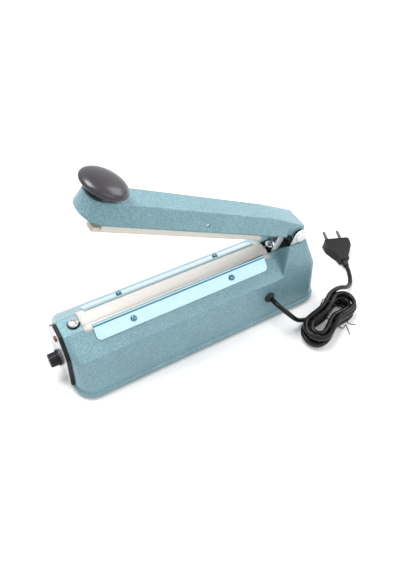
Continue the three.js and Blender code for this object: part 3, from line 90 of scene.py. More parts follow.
MM = 0.001
CASTING_SHIFT = -0.14345  # the casting's front edge in the part's frame
MIX_FROM, MIX_TO, MIXED = 6, 7, 2  # the colour sockets of a Mix node
WAVE_BANDS = 20.0 / math.tau  # how many bands a Wave node draws at a scale of one
WELD = 0.001 * MM  # how near two vertices lie to be one
FLAT_WITHIN = 0.4  # degrees within which two faces are one
SHARP = 32.0  # degrees from which an edge counts as sharp
SOFT_SHARP = 50.0  # the same for cloth and wire


class Body(str, Enum):
    """The bodies that pieces ride on."""

    BASE = "base"
    ARM = "arm"
    JAW = "pressure_jaw"
    DIAL = "timer_knob"


class Slot(str, Enum):
    """The part's stored material slots."""

    ENAMEL = "hammertone"
    BLACK = "black_plastic"
    KNOB = "knob_plastic"
    BRIGHT = "bright_steel"
    CLAMP = "clamp_steel"
    SPRING = "spring_steel"
    DIAL = "brushed_plate"
    LAMP = "lamp"
    BAR = "white_bar"
    SILICONE = "silicone"
    CLOTH = "cloth"
    RUBBER = "rubber"
    SHEATH = "cord_sheath"


def linear(colour: str) -> tuple[float, float, float, float]:
    """Turn an sRGB hex colour into the linear values that shaders take.

    Args:
        colour: six hex digits after a hash sign.

    Returns:
        Red, green, blue and an alpha of one.
    """
    parts = [int(colour[i : i + 2], 16) / 255 for i in (1, 3, 5)]
    red, green, blue = (c / 12.92 if c <= 0.04045 else ((c + 0.055) / 1.055) ** 2.4 for c in parts)
    return (red, green, blue, 1.0)


def add_node(
    tree: Tree,
    kind: str,
    inputs: dict[str | int, Any] | None = None,
    give: str | int = 0,
    **settings: Any,
) -> Socket:
    """Add one shader node with its settings and links.

    Args:
        tree: the node tree that takes it.
        kind: the node's type name after ShaderNode.
        inputs: a value or a linked output for each named or numbered input.
        give: which of its outputs is wanted.
        settings: values of the node's own properties.

    Returns:
        The wanted output.
    """
    node = tree.nodes.new(f"ShaderNode{kind}")
    for key, value in settings.items():
        setattr(node, key, value)
    for key, value in (inputs or {}).items():
        if isinstance(value, Socket):
            tree.links.new(value, node.inputs[key])
        else:
            node.inputs[key].default_value = value
    return node.outputs[give]


def show(tree: Tree, kind: str, surface: Socket) -> None:
    """Lead a shader to the tree's own output, which is a material's or a world's."""
    tree.links.new(surface, tree.nodes.new(f"ShaderNodeOutput{kind}").inputs["Surface"])


def seen_directly(tree: Tree) -> Socket:
    """Tell what the camera or a reflection sees from what lights the object.

    Args:
        tree: the node tree that takes it.

    Returns:
        An output that is 1 for the first and 0 for the second.
    """
    camera = add_node(tree, "LightPath", give="Is Camera Ray")
    rays = {0: camera, 1: camera.node.outputs["Is Glossy Ray"]}
    return add_node(tree, "Math", rays, operation="MAXIMUM")


def features(where: Socket, size_mm: float, **more: float) -> dict[str, Any]:
    """Give a pattern's inputs for features about size_mm across, and any others by name."""
    return {"Vector": where, "Scale": 1.0 / (size_mm * MM), **more}


def set_stops(tone: Socket, stops: Sequence[tuple[float, str]]) -> None:
    """Give a colour ramp its stops.

    Args:
        tone: the ramp's output.
        stops: places from 0 to 1, each with an sRGB hex colour.
    """
    elements = tone.node.color_ramp.elements
    while len(elements) < len(stops):
        elements.new(1.0)
    for element, (place, colour) in zip(elements, stops):
        element.position = place
        element.color = linear(colour)


@dataclass(frozen=True)
class Finish:
    """A finish with a plain shader, which each kind of finish adds its own pattern to."""

    name: str
    colour: str
    roughness: float
    metallic: float = 0.0
    coat: float = 0.0
    specular: float = 0.5

    def material(self) -> bpy.types.Material:
        """Give the finish's material, made once."""
        return bpy.data.materials.get(self.name) or self.made()

    def made(self) -> bpy.types.Material:
        """Build the material with its shader and pattern.

        Returns:
            The new material.
        """
        material = bpy.data.materials.new(self.name)
        material.use_nodes = True
        material.diffuse_color = linear(self.colour)
        tree = material.node_tree
        tree.nodes.clear()
        plain = {
            "Metallic": self.metallic,
            "Roughness": self.roughness,
            "Coat Weight": self.coat,
            "Specular IOR Level": self.specular,
        }
        where = add_node(tree, "TexCoord", give="Object")
        shader = add_node(tree, "BsdfPrincipled", plain | self.pattern(tree, where))
        show(tree, "Material", shader)
        return material

    def pattern(self, tree: Tree, where: Socket) -> dict[str, Socket]:
        """Add what varies over the surface.

        Args:
            tree: the material's node tree.
            where: the Object coordinates.

        Returns:
            The outputs that the shader's inputs take, by the inputs' names.
        """
        raise NotImplementedError


@dataclass(frozen=True)
class HammertoneEnamel(Finish):
    """Stoved enamel with aluminium flake that dries into small dimples on a casting."""

    dark: str = "#688F9A"
    light: str = "#95BCC6"
    dimple_mm: float = 1.2
    dimple_depth_mm: float = 0.18
    dimple_strength: float = 0.5
    dimple_softness: float = 0.5
    dimple_weight: float = 0.42
    speck_mm: float = 0.84
    speck_weight: float = 0.6
    tone_places: Point = (0.3, 0.46, 0.66)
    drift_mm: float = 26.0
    drift: Flat = (0.88, 1.12)
    gloss: Flat = (-0.14, 0.16)
    edge_radius_mm: float = 2.4

    def pattern(self, tree: Tree, where: Socket) -> dict[str, Socket]:
        """Mottle the flake between the dimples and dent the surface with them.

        Args:
            tree: the material's node tree.
            where: the Object coordinates.

        Returns:
            The colour, gloss and normal.
        """
        warp = add_node(tree, "TexNoise", features(where, self.dimple_mm * 2, Detail=2.0), "Color")
        moved = {0: warp, 1: (self.dimple_mm * MM,) * 3, 2: where}
        bent = add_node(tree, "VectorMath", moved, operation="MULTIPLY_ADD")
        dimples = features(bent, self.dimple_mm, Smoothness=self.dimple_softness)
        cells = add_node(tree, "TexVoronoi", dimples, feature="SMOOTH_F1")
        rims = {"Value": cells, "To Min": 0.0, "To Max": self.dimple_weight}
        speck = add_node(tree, "TexNoise", features(where, self.speck_mm, Detail=3.0))
        both = {0: speck, 1: self.speck_weight, 2: add_node(tree, "MapRange", rims)}
        blend = add_node(tree, "Math", both, operation="MULTIPLY_ADD")
        tone = add_node(tree, "ValToRGB", {"Fac": blend})
        set_stops(tone, [*zip(self.tone_places, (self.light, self.colour, self.dark))])
        drift = add_node(tree, "TexNoise", features(where, self.drift_mm, Detail=3.0))
        low, high = self.drift
        value = add_node(tree, "MapRange", {"Value": drift, "To Min": low, "To Max": high})
        low, high = (self.roughness + swing for swing in self.gloss)
        swings = {"Value": blend, "To Min": low, "To Max": high}
        rounded = add_node(tree, "Bevel", {"Radius": self.edge_radius_mm * MM}, samples=6)
        dents = {
            "Height": cells,
            "Distance": self.dimple_depth_mm * MM,
            "Strength": self.dimple_strength,
            "Normal": rounded,
        }
        return {
            "Base Color": add_node(tree, "HueSaturation", {"Color": tone, "Value": value}),
            "Roughness": add_node(tree, "MapRange", swings),
            "Normal": add_node(tree, "Bump", dents),
        }


@dataclass(frozen=True)
class PatchyFinish(Finish):
    """A finish whose colour and gloss wander in broad patches over a fine relief."""

    tint: str = "#000000"
    patch_mm: float = 9.0
    patch_detail: float = 4.0
    tint_share: Flat = (0.0, 0.35)
    gloss: Flat | None = (-0.08, 0.08)
    gloss_with_relief: bool = False
    relief_mm: float = 0.35
    relief_detail: float = 2.0
    relief_depth_mm: float = 0.012
    relief_strength: float = 0.6

    def pattern(self, tree: Tree, where: Socket) -> dict[str, Socket]:
        """Let the tint and the gloss wander, and roughen the surface.

        Args:
            tree: the material's node tree.
            where: the Object coordinates.

        Returns:
            The colour and normal, and the gloss where it wanders.
        """
        broad = features(where, self.patch_mm, Detail=self.patch_detail)
        patches = add_node(tree, "TexNoise", broad)
        low, high = self.tint_share
        share = add_node(tree, "MapRange", {"Value": patches, "To Min": low, "To Max": high})
        tones = {"Factor": share, MIX_FROM: linear(self.colour), MIX_TO: linear(self.tint)}
        relief = self.relief(tree, where)
        depth, strength = self.relief_depth_mm * MM, self.relief_strength
        rise = {"Height": relief, "Distance": depth, "Strength": strength}
        found = {
            "Base Color": add_node(tree, "Mix", tones, MIXED, data_type="RGBA"),
            "Normal": add_node(tree, "Bump", rise),
        }
        if self.gloss is not None:
            low, high = (self.roughness + swing for swing in self.gloss)
            driver = relief if self.gloss_with_relief else patches
            swings = {"Value": driver, "To Min": low, "To Max": high}
            found["Roughness"] = add_node(tree, "MapRange", swings)
        return found

    def relief(self, tree: Tree, where: Socket) -> Socket:
        """Give the height of the surface from 0 to 1, which is an even grain."""
        grain = features(where, self.relief_mm, Detail=self.relief_detail)
        return add_node(tree, "TexNoise", grain)


@dataclass(frozen=True)
class MouldedPlastic(PatchyFinish):
    """Injection moulded plastic with the grain of its mould, polished in patches by hands."""


@dataclass(frozen=True)
class SoftSkin(PatchyFinish):
    """Rubber, PVC or a thick coat of paint, with a dry bloom and a slight ripple."""

    tint: str = "#4A484C"
    patch_mm: float = 6.0
    patch_detail: float = 5.0
    tint_share: Flat = (-0.15, 0.4)
    gloss: Flat | None = (-0.06, 0.1)
    relief_mm: float = 0.8
    relief_depth_mm: float = 0.02
    relief_strength: float = 0.5


@dataclass(frozen=True)
class RolledSheet(PatchyFinish):
    """Rolled or brushed metal, a little cloudy, with fine lines along one direction."""

    along: Point = (0.03, 1.0, 1.0)
    patch_mm: float = 14.0
    patch_detail: float = 3.0
    tint_share: Flat = (0.0, 1.0)
    gloss: Flat | None = (-0.07, 0.09)
    gloss_with_relief: bool = True
    relief_detail: float = 3.0
    relief_depth_mm: float = 0.006
    relief_strength: float = 0.5

    def relief(self, tree: Tree, where: Socket) -> Socket:
        """Draw the grain out into lines."""
        drawn = add_node(tree, "Mapping", {"Vector": where, "Scale": self.along})
        return super().relief(tree, drawn)


@dataclass(frozen=True)
class FoldedSheet(RolledSheet):
    """Polished sheet that is folded along a level line, with a band of painted dark reflection and
    shade along the fold.
    """

    fold_height_mm: float = 77.3
    fold_mm: float = 1.2
    # the colour of the painted dark reflection and shade along the fold
    shade: str = "#3F6B79"

    def pattern(self, tree: Tree, where: Socket) -> dict[str, Socket]:
        """Lay the sheet's pattern and paint a narrow band of dark reflection and shade along the
        fold.

        Args:
            tree: the material's node tree.
            where: the Object coordinates.

        Returns:
            The colour, gloss and normal.
        """
        found = super().pattern(tree, where)
        height = add_node(tree, "SeparateXYZ", {"Vector": where}, "Z")
        # painted dark reflection and shade in a narrow band at the fold's height
        band = {0: height, 1: self.fold_height_mm * MM, 2: self.fold_mm * MM / 2}
        painted_fold_shade = add_node(tree, "Math", band, operation="COMPARE")
        tones = {"Factor": painted_fold_shade, MIX_FROM: found["Base Color"], MIX_TO: linear(self.shade)}
        found["Base Color"] = add_node(tree, "Mix", tones, MIXED, data_type="RGBA")
        return found


@dataclass(frozen=True)
class CoatedGlassCloth(PatchyFinish):
    """Woven glass cloth soaked in PTFE, with its weave just proud and browned by heat."""

    patch_mm: float = 18.0
    tint_share: Flat = (-0.1, 0.32)
    gloss: Flat | None = None
    relief_mm: float = 4.4  # its threads are 0.7 mm apart, too fine to show, so drawn coarser
    relief_wander: float = 0.4
    relief_depth_mm: float = 0.03
    relief_strength: float = 0.5

    def relief(self, tree: Tree, where: Socket) -> Socket:
        """Weave two sets of threads, each a row of bands.

        Args:
            tree: the material's node tree.
            where: the Object coordinates.

        Returns:
            The height.
        """
        bands = features(where, self.relief_mm * WAVE_BANDS, Distortion=self.relief_wander)
        warp, weft = (add_node(tree, "TexWave", bands, "Fac", bands_direction=way) for way in "XY")
        return add_node(tree, "Math", {0: warp, 1: weft}, operation="MAXIMUM")


@dataclass(frozen=True)
class WoundTape(Finish):
    """A coil under varnished tape, whose turns show as bands."""

    turn_mm: float = 7.54  # the wire's own turns are too fine to show, so drawn coarser
    turn_depth_mm: float = 0.15
    turn_strength: float = 0.6
    turn_wander: float = 0.6
    tone_places: Flat = (0.1, 0.7)
    shade: str = "#5E3216"

    def pattern(self, tree: Tree, where: Socket) -> dict[str, Socket]:
        """Band the coil turn by turn.

        Args:
            tree: the material's node tree.
            where: the Object coordinates.

        Returns:
            The colour and normal.
        """
        turns = features(where, self.turn_mm * WAVE_BANDS, Distortion=self.turn_wander)
        bands = add_node(tree, "TexWave", turns, "Fac", bands_direction="Z")
        tone = add_node(tree, "ValToRGB", {"Fac": bands})
        set_stops(tone, [*zip(self.tone_places, (self.shade, self.colour))])
        depth, strength = self.turn_depth_mm * MM, self.turn_strength
        rise = {"Height": bands, "Distance": depth, "Strength": strength}
        return {"Base Color": tone, "Normal": add_node(tree, "Bump", rise)}


# Speckled blue green with a soft sheen that catches on the dimples and rounded edges.
HAMMERTONE = HammertoneEnamel("hammertone_enamel", "#7BA1AB", 0.42, metallic=0.22, coat=0.25)
# Nearly black with a warm cast, polished enough for broad soft highlights.
KNOB_PHENOLIC = MouldedPlastic(
    "phenolic_knob", "#29272C", 0.3, coat=0.15, tint="#3B3438", relief_mm=0.5, relief_depth_mm=0.02
)
# Satin black that barely lifts from the shadows.
BLACK_MOULDING = MouldedPlastic(
    "black_abs_moulding", "#121215", 0.44, specular=0.26, tint="#1B1B1F"
)
# Dull black with a dry bloom.
PLUG_PVC = SoftSkin("soft_pvc_plug", "#0F0F12", 0.4, specular=0.24, tint="#1D1D21")
# Black with a narrow highlight along each turn.
LEAD_PVC = SoftSkin("soft_pvc_lead", "#0B0B0D", 0.26, specular=0.24, tint="#151518", patch_mm=9.0)
# Matt charcoal, dusty from the counter.
FOOT_RUBBER = SoftSkin("foot_rubber", "#232226", 0.8)
# Soft cream that yellows in places.
SILICONE = SoftSkin("cream_silicone", "#E6DCCB", 0.62, tint="#D9C6A8", patch_mm=16.0)
# Dull grey cream under the cloth.
BED_SILICONE = SoftSkin("bed_silicone", "#D8D2C6", 0.66, tint="#B9AD98", patch_mm=12.0)
# Warm white paint, smooth but not mirror bright.
WHITE_ENAMEL = SoftSkin("white_bar_enamel", "#EDEAE2", 0.42, tint="#E0D8C8", patch_mm=22.0)
# Bright silver with sharp reflections.
BRIGHT_ZINC = RolledSheet("bright_zinc_plate", "#D2D4D8", 0.24, metallic=1.0, tint="#BFC4CC")
# Almost white and barely metallic, a painted pale reflection that stays pale from every side.
ZINC_PAINTED_PALE_REFLECTION = RolledSheet("zinc_plate_painted_pale_reflection", "#F6F7F8", 0.3, metallic=0.15, tint="#ECEFF0")
# Silver darkened to blue grey, a painted dark reflection.
ZINC_PAINTED_DARK_REFLECTION = RolledSheet("zinc_plate_painted_dark_reflection", "#6F97A6", 0.2, metallic=1.0, tint="#557D8D")
# Dark grey metal that stands out from a white ground.
PIN_NICKEL = RolledSheet("pin_nickel_plate", "#77787E", 0.3, metallic=1.0, tint="#5F6066")
# Pale blue mirror, its blue a painted cyan reflection, with a painted dark reflection and shade
# along its fold.
CLAMP_SHEET = FoldedSheet("polished_clamp_sheet", "#ACC5CD", 0.15, metallic=0.7, tint="#98B8C3")
# Silver with upright brush marks that smear its reflections.
DIAL_SHEET = RolledSheet(
    "brushed_dial_plate", "#C9CBCE", 0.3, metallic=0.95, along=(1.0, 1.0, 0.03), tint="#B4B7BB"
)
# Dull warm grey, oxidised by its own heat.
ELEMENT_STRIP = RolledSheet("resistance_strip", "#9A9488", 0.35, metallic=1.0, tint="#877C6C")
# Blue black with a thin oily highlight.
SPRING_WIRE = RolledSheet("oil_blacked_wire", "#2B2B30", 0.34, metallic=0.85, tint="#1E1E22")
# Dark grey sheets whose edges show as lines.
CORE_SHEET = RolledSheet(
    "laminated_core", "#55565C", 0.5, metallic=0.8, along=(1.0, 0.05, 1.0), tint="#3B3C42"
)
# Glossy dark green.
BOARD = PatchyFinish("solder_mask_board", "#2F6B3F", 0.4, tint="#1E4A2B", relief_mm=1.5)
# Deep red with a clear gloss over it, unlit.
LAMP_LENS = MouldedPlastic("red_lamp_lens", "#6E1518", 0.14, coat=0.5, tint="#3A0B0D")
# Flat near black on the bright plate.
DIAL_INK = PatchyFinish("dial_ink", "#1D1D20", 0.55, tint="#2B2B2F")
# Amber brown with darker lines between the turns.
COIL_TAPE = WoundTape("varnished_coil_tape", "#B06A35", 0.45)
# Off white with a faint weave, greyer where it is worn.
PTFE_CLOTH = CoatedGlassCloth("ptfe_glass_cloth", "#DCDAD5", 0.55, tint="#C6C0B5")


@dataclass
class Bench:
    """Holds the loaded frame, and gives each piece its body and finish."""

    frame: dict[str, Any]
    made: list[str] = field(default_factory=list)

    def node(self, name: str) -> bpy.types.Object:
        """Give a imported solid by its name."""
        return self.frame["nodes"][name]

    def joint(self, name: str) -> dict[str, Any]:
        """Give a joint's entry by its name."""
        return next(j for j in self.frame["joints"] if j["name"] == name)

    def open_arm(self) -> Matrix:
        """Find the open arm's place.

        Returns:
            The place, which takes the pin at the origin to where it is.
        """
        joint = self.joint("arm_hinge")
        turn = Matrix.Rotation(math.radians(joint["range_deg"][1]), 4, "Y")
        return Matrix.Translation(joint["pos_m"]) @ turn

    def paint(self, finish: Finish, *names: str) -> None:
        """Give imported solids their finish.

        Args:
            finish: the finish that they take.
            names: the nodes.
        """
        for name in names:
            slots = self.node(name).data.materials
            slots.clear()
            slots.append(finish.material())
            log.info("dressed %s", name)

    def keep(
        self,
        name: str,
        mesh: bpy.types.Mesh,
        finish: Finish,
        body: Body | None,
        slot: Slot,
        *replaced: str,
    ) -> bpy.types.Object:
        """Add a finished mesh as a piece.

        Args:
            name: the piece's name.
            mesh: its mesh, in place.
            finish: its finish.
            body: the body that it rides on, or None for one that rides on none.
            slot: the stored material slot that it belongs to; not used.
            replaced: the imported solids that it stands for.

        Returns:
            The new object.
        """
        mesh.materials.clear()
        mesh.materials.append(finish.material())
        piece = stand(name, mesh)
        if body is not None:
            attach(piece, body.value)
        if replaced:
            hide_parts(*replaced)
        self.made.append(name)
        log.info("made %s with %d faces", name, len(mesh.polygons))
        return piece

    def eased(
        self,
        node: str,
        finish: Finish,
        body: Body,
        slot: Slot,
        edge_mm: float = 0.3,
        segments: int = 2,
        sharp: float = SHARP,
    ) -> bpy.types.Object:
        """Stand in for a solid with its edges eased and its curves shaded smooth.

        Args:
            node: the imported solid.
            finish: its finish.
            body: the body that carries it.
            slot: its stored material slot.
            edge_mm: how far each sharp edge is eased.
            segments: how many faces an eased edge has.
            sharp: the angle in degrees from which an edge counts as sharp.

        Returns:
            The new object.
        """
        shape = bmesh.new()
        shape.from_mesh(self.node(node).data)
        bmesh.ops.remove_doubles(shape, verts=shape.verts, dist=WELD)
        flat = math.radians(FLAT_WITHIN)
        bmesh.ops.dissolve_limit(shape, angle_limit=flat, verts=shape.verts, edges=shape.edges)
        limit = math.radians(sharp)
        bmesh.ops.bevel(
            shape,
            geom=[e for e in shape.edges if e.is_manifold and e.calc_face_angle() > limit],
            offset=edge_mm * MM,
            offset_type="OFFSET",
            segments=segments,
            profile=0.5,
            affect="EDGES",
            clamp_overlap=True,
            material=-1,
        )
        name = f"{node}_finished"
        piece = self.keep(name, smooth_mesh(name, shape), finish, body, slot, node)
        piece.modifiers.new("weighted_normals", "WEIGHTED_NORMAL").keep_sharp = True
        return piece


def stand(name: str, data: bpy.types.ID) -> bpy.types.Object:
    """Stand something in the scene.

    Args:
        name: the object's name.
        data: its mesh, curve, lamp or camera.

    Returns:
        The new object.
    """
    thing = bpy.data.objects.new(name, data)
    bpy.context.scene.collection.objects.link(thing)
    return thing


def smooth_mesh(name: str, shape: Shape, sharp: float = SHARP) -> bpy.types.Mesh:
    """Turn a bmesh into a mesh that is smooth but for its sharp edges.

    Args:
        name: the mesh's name.
        shape: the bmesh, which is freed.
        sharp: the angle in degrees from which an edge stays sharp.

    Returns:
        The mesh.
    """
    mesh = bpy.data.meshes.new(name)
    shape.to_mesh(mesh)
    shape.free()
    mesh.shade_smooth()
    mesh.set_sharp_from_angle(angle=math.radians(sharp))
    return mesh


def meshed(thing: bpy.types.Object) -> bpy.types.Mesh:
    """Turn an object with its modifiers, or a curve, into one mesh.

    Args:
        thing: the object, which is taken away.

    Returns:
        The mesh.
    """
    bpy.context.view_layer.update()
    shown = thing.evaluated_get(bpy.context.evaluated_depsgraph_get())
    mesh = bpy.data.meshes.new_from_object(shown)
    bpy.data.objects.remove(thing)
    return mesh


def arc(centre: Flat, radius: Flat, start: float, end: float, steps: int) -> list[Flat]:
    """Give the points of an elliptic arc.

    Args:
        centre: its centre.
        radius: its two half axes.
        start: its first angle in degrees.
        end: its last angle in degrees.
        steps: how many runs it has.

    Returns:
        The points from start to end.
    """
    (x, y), (wide, high) = centre, radius
    angles = [math.radians(start + (end - start) * i / steps) for i in range(steps + 1)]
    return [(x + wide * math.cos(a), y + high * math.sin(a)) for a in angles]


def turned(profile: Sequence[Flat], place: Matrix, steps: int) -> Shape:
    """Turn a profile once round the Z axis and put it in its place.

    Args:
        profile: radius and height of each point in millimetres, from axis to axis.
        place: where it goes.
        steps: how many faces go round.

    Returns:
        The turned shape.
    """
    shape = bmesh.new()
    verts = [shape.verts.new((r * MM, 0.0, z * MM)) for r, z in profile]
    edges = [shape.edges.new(pair) for pair in zip(verts, verts[1:])]
    bmesh.ops.spin(
        shape,
        geom=verts + edges,
        cent=(0.0, 0.0, 0.0),
        axis=(0.0, 0.0, 1.0),
        angle=math.tau,
        steps=steps,
        use_merge=True,
    )
    bmesh.ops.remove_doubles(shape, verts=shape.verts, dist=WELD)
    bmesh.ops.recalc_face_normals(shape, faces=shape.faces)
    bmesh.ops.transform(shape, matrix=place, verts=shape.verts)
    return shape


def bar_between(low: Point, high: Point, place: Matrix) -> Shape:
    """Make a block between two corners in millimetres.

    Args:
        low: its lowest corner.
        high: its highest corner.
        place: where it goes.

    Returns:
        The block.
    """
    shape = bmesh.new()
    size = [(b - a) * MM for a, b in zip(low, high)]
    middle = [(b + a) / 2 * MM for a, b in zip(low, high)]
    bmesh.ops.create_cube(shape, size=1.0)
    bmesh.ops.scale(shape, vec=size, verts=shape.verts)
    bmesh.ops.translate(shape, vec=middle, verts=shape.verts)
    bmesh.ops.transform(shape, matrix=place, verts=shape.verts)
    return shape


def cut_out(body: Shape, tools: Sequence[Shape]) -> Shape:
    """Cut shapes out of a shape.

    Args:
        body: the closed shape that is cut, which is freed.
        tools: the closed shapes that are cut out, which are freed.

    Returns:
        What is left.
    """
    blank, *cutters = [stand("working_shape", smooth_mesh("working", s)) for s in (body, *tools)]
    for cutter in cutters:
        cut = blank.modifiers.new("cut", "BOOLEAN")
        cut.operation = "DIFFERENCE"
        cut.solver = "EXACT"
        cut.object = cutter
    left = bmesh.new()
    left.from_mesh(meshed(blank))
    for cutter in cutters:
        bpy.data.objects.remove(cutter)
    return left


def frame_of(origin: Vector, along: Vector, up: Vector) -> Matrix:
    """Give the matrix that puts local Z along a direction and local Y near another.

    Args:
        origin: where the local origin goes.
        along: where local Z points.
        up: roughly where local Y points.

    Returns:
        The place as a matrix.
    """
    z = along.normalized()
    x = up.cross(z).normalized()
    return Matrix.Translation(origin) @ Matrix((x, z.cross(x), z)).transposed().to_4x4()


def line_curve(name: str, points: Sequence[Vector], radius: float, smooth: int) -> bpy.types.Object:
    """Make a round line through points as one open spline with closed ends.

    Args:
        name: the curve's name.
        points: the points in metres that it passes.
        radius: its radius in metres.
        smooth: how many steps it has between two points.

    Returns:
        The curve object, which rides on nothing yet.
    """
    curve = bpy.data.curves.new(name, "CURVE")
    curve.dimensions = "3D"
    curve.bevel_depth = radius
    curve.bevel_resolution = 3
    curve.resolution_u = smooth
    curve.use_fill_caps = True
    spline = curve.splines.new("BEZIER")
    knots = spline.bezier_points
    knots.add(len(points) - 1)
    for knot, point in zip(knots, points):
        knot.co = point
        knot.handle_left_type = knot.handle_right_type = "AUTO"
    for knot in (knots[0], knots[-1]):
        knot.handle_left_type = knot.handle_right_type = "VECTOR"
    return stand(name, curve)


@dataclass
class Lead:
    """The mains lead from the grommet, through the tied hank, to the plug.

    Its points outside the hank are given one by one, along the lead in the photograph.
    """

    bench: Bench
    radius: float = 0.0028
    wall_hole: Flat = (0.230, 0.0365)  # along the body and up
    wall_foot: Flat = (0.0436, 0.0095)  # out and up, where the wall starts
    wall_crease: Flat = (0.034, 0.0562)  # out and up, where the slope starts
    nose: float = 0.0046  # how far the grommet stands out of the wall
    lead_route: tuple[Point, ...] = (
        (0.2312, -0.055, 0.0385),
        (0.2348, -0.062, 0.036),
        (0.2403, -0.0675, 0.0305),
        (0.2475, -0.0695, 0.022),
        (0.2565, -0.069, 0.013),
        (0.2665, -0.0688, 0.0068),
        (0.2765, -0.0712, 0.005),
    )
    tail_route: tuple[Point, ...] = (
        (0.319, -0.0565, 0.021),
        (0.3275, -0.056, 0.0185),
        (0.34, -0.0555, 0.012),
        (0.3495, -0.052, 0.0075),
        (0.357, -0.0455, 0.006),
        (0.362, -0.0375, 0.0065),
    )
    hank_centre: Flat = (0.2905, -0.083)
    hank_turn: float = 18.0
    hank_length: float = 0.092
    hank_half_width: float = 0.0196
    hank_pitch: float = 0.0068
    hank_rise: float = 0.00625
    hank_climb: float = 0.5  # the part of a loop in which the lead climbs a layer
    hank_loops: int = 6
    hank_layers: int = 4
    hank_draw_in: float = 0.0036
    hank_steps: int = 24
    hank_end_share: float = 0.11
    tie_place: float = 0.007
    tie_radius: float = 0.0006
    tie_gap: float = 0.0004
    plug_entry: Point = (0.3664, -0.027, 0.0068)
    plug_turn: float = 19.4

    @property
    def run_half(self) -> float:
        """Half the length of a straight run."""
        return self.hank_length / 2 - self.hank_half_width

    @property
    def hank_lift(self) -> float:
        """How far the tie under the waist lifts the runs there."""
        share = math.cos(math.pi * self.tie_place / (self.run_half * 2)) ** 2
        return (self.tie_radius + self.tie_gap) * 2 / share

    def inset(self, loops: float) -> float:
        """Give how far a turn lies inside the outermost one.

        Args:
            loops: the loops wound so far.

        Returns:
            The distance in metres.
        """
        if loops > self.hank_loops:
            return self.hank_pitch * (self.hank_loops - loops)
        per_layer = self.hank_loops / self.hank_layers
        phase = (loops / per_layer) % 2
        return self.hank_pitch * per_layer * (phase if phase < 1 else 2 - phase)

    def height(self, loops: float) -> float:
        """Give the height of the lead's middle, which climbs where the spiral reverses.

        Args:
            loops: the loops wound so far.

        Returns:
            The height in metres.
        """
        per_layer = self.hank_loops / self.hank_layers
        high = self.radius
        for layer in range(1, self.hank_layers):
            climbed = (loops - per_layer * layer) / self.hank_climb + 0.5
            share = min(max(climbed, 0.0), 1.0)
            high += self.hank_rise * share * share * (3 - 2 * share)
        return high

    def on_hank(self, x: float, y: float, z: float) -> Vector:
        """Put a point of the hank's own frame in its place."""
        place = Matrix.Rotation(math.radians(self.hank_turn), 4, "Z") @ Vector((x, y, z))
        return self.placed((*self.hank_centre, 0.0)) + place

    def hank_point(self, loops: float) -> Vector:
        """Give the point after a number of loops, on a long oval drawn in at its waist.

        Args:
            loops: the loops wound so far.

        Returns:
            The point in the part's frame.
        """
        radius = self.hank_half_width - self.radius - self.inset(loops)
        run = self.run_half * 2
        bend = math.pi * radius
        travelled = (loops % 1) * (run + bend) * 2 + run / 2
        half = travelled % (run + bend)
        upper = 1 if math.floor(travelled / (run + bend)) % 2 == 0 else -1
        if half < run:
            x = half - run / 2
            waist = math.cos(math.pi * x / run) ** 2
            y = radius - self.hank_draw_in * waist
            lift = self.hank_lift * waist
        else:
            angle = (half - run) / radius
            x = run / 2 + radius * math.sin(angle)
            y = radius * math.cos(angle)
            lift = 0.0
        return self.on_hank(upper * x, upper * y, self.height(loops) + lift)

    def hank_points(self) -> list[Vector]:
        """Wind the hank, with the part of a loop that ends it.

        Returns:
            The points that the lead passes.
        """
        loops = self.hank_loops + self.hank_end_share
        steps = round(loops * self.hank_steps)
        return [self.hank_point(loops * i / steps) for i in range(steps + 1)]

    @staticmethod
    def placed(point: Point) -> Vector:
        """Move a point from the casting's front edge to the part's frame."""
        return Vector(point) + Vector((CASTING_SHIFT, 0.0, 0.0))

    def route(self) -> list[Vector]:
        """Lead the cord square out of the wall, through the hank and into the plug.

        Returns:
            The points that it passes.
        """
        (foot, low), (crease, high) = self.wall_foot, self.wall_crease
        along, up = self.wall_hole
        slope = math.atan2(foot - crease, high - low)
        out = Vector((0.0, -math.cos(slope), math.sin(slope)))
        half = foot + (crease - foot) * (up - low) / (high - low)
        root = self.placed((along, -half, up))
        start = [root + out * self.nose, root + out * (self.nose + self.radius * 2)]
        turn = math.radians(self.plug_turn)
        plug = self.placed(self.plug_entry)
        end = [plug - Vector((math.sin(turn), math.cos(turn), 0.0)) * self.radius * 2, plug]
        lead, tail = ([self.placed(p) for p in way] for way in (self.lead_route, self.tail_route))
        return [*start, *lead, *self.hank_points(), *tail, *end]

    def build(self) -> None:
        points = self.route()
        lead = line_curve("mains_lead", points, self.radius, smooth=5)
        lead.data.materials.append(LEAD_PVC.material())
        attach(lead, Body.BASE.value)
        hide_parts("mains_cord", "cord_hank", "cord_tail")
        eased = self.bench.eased
        tie = eased("twist_tie", BLACK_MOULDING, Body.BASE, Slot.BLACK, edge_mm=0.1)
        self.bench.paint(PIN_NICKEL, "plug_pin_1", "plug_pin_2")
        soft = {"edge_mm": 1.1, "segments": 3, "sharp": 24.0}
        plug = eased("plug_body", PLUG_PVC, Body.BASE, Slot.BLACK, **soft)


@dataclass(frozen=True)
class SoftBox:
    """A square lamp: its place, its side in metres and its power in watts."""

    name: str
    place: Point
    size: float
    watts: float
    up: Point = (0.0, 1.0, 0.2)

    def hang(self, target: Vector) -> None:
        """Hang the lamp.

        Args:
            target: the point that it faces.
        """
        data = bpy.data.lights.new(self.name, "AREA")
        data.size = self.size
        data.energy = self.watts
        place, lamp = Vector(self.place), stand(self.name, data)
        lamp.matrix_world = frame_of(place, place - target, Vector(self.up))


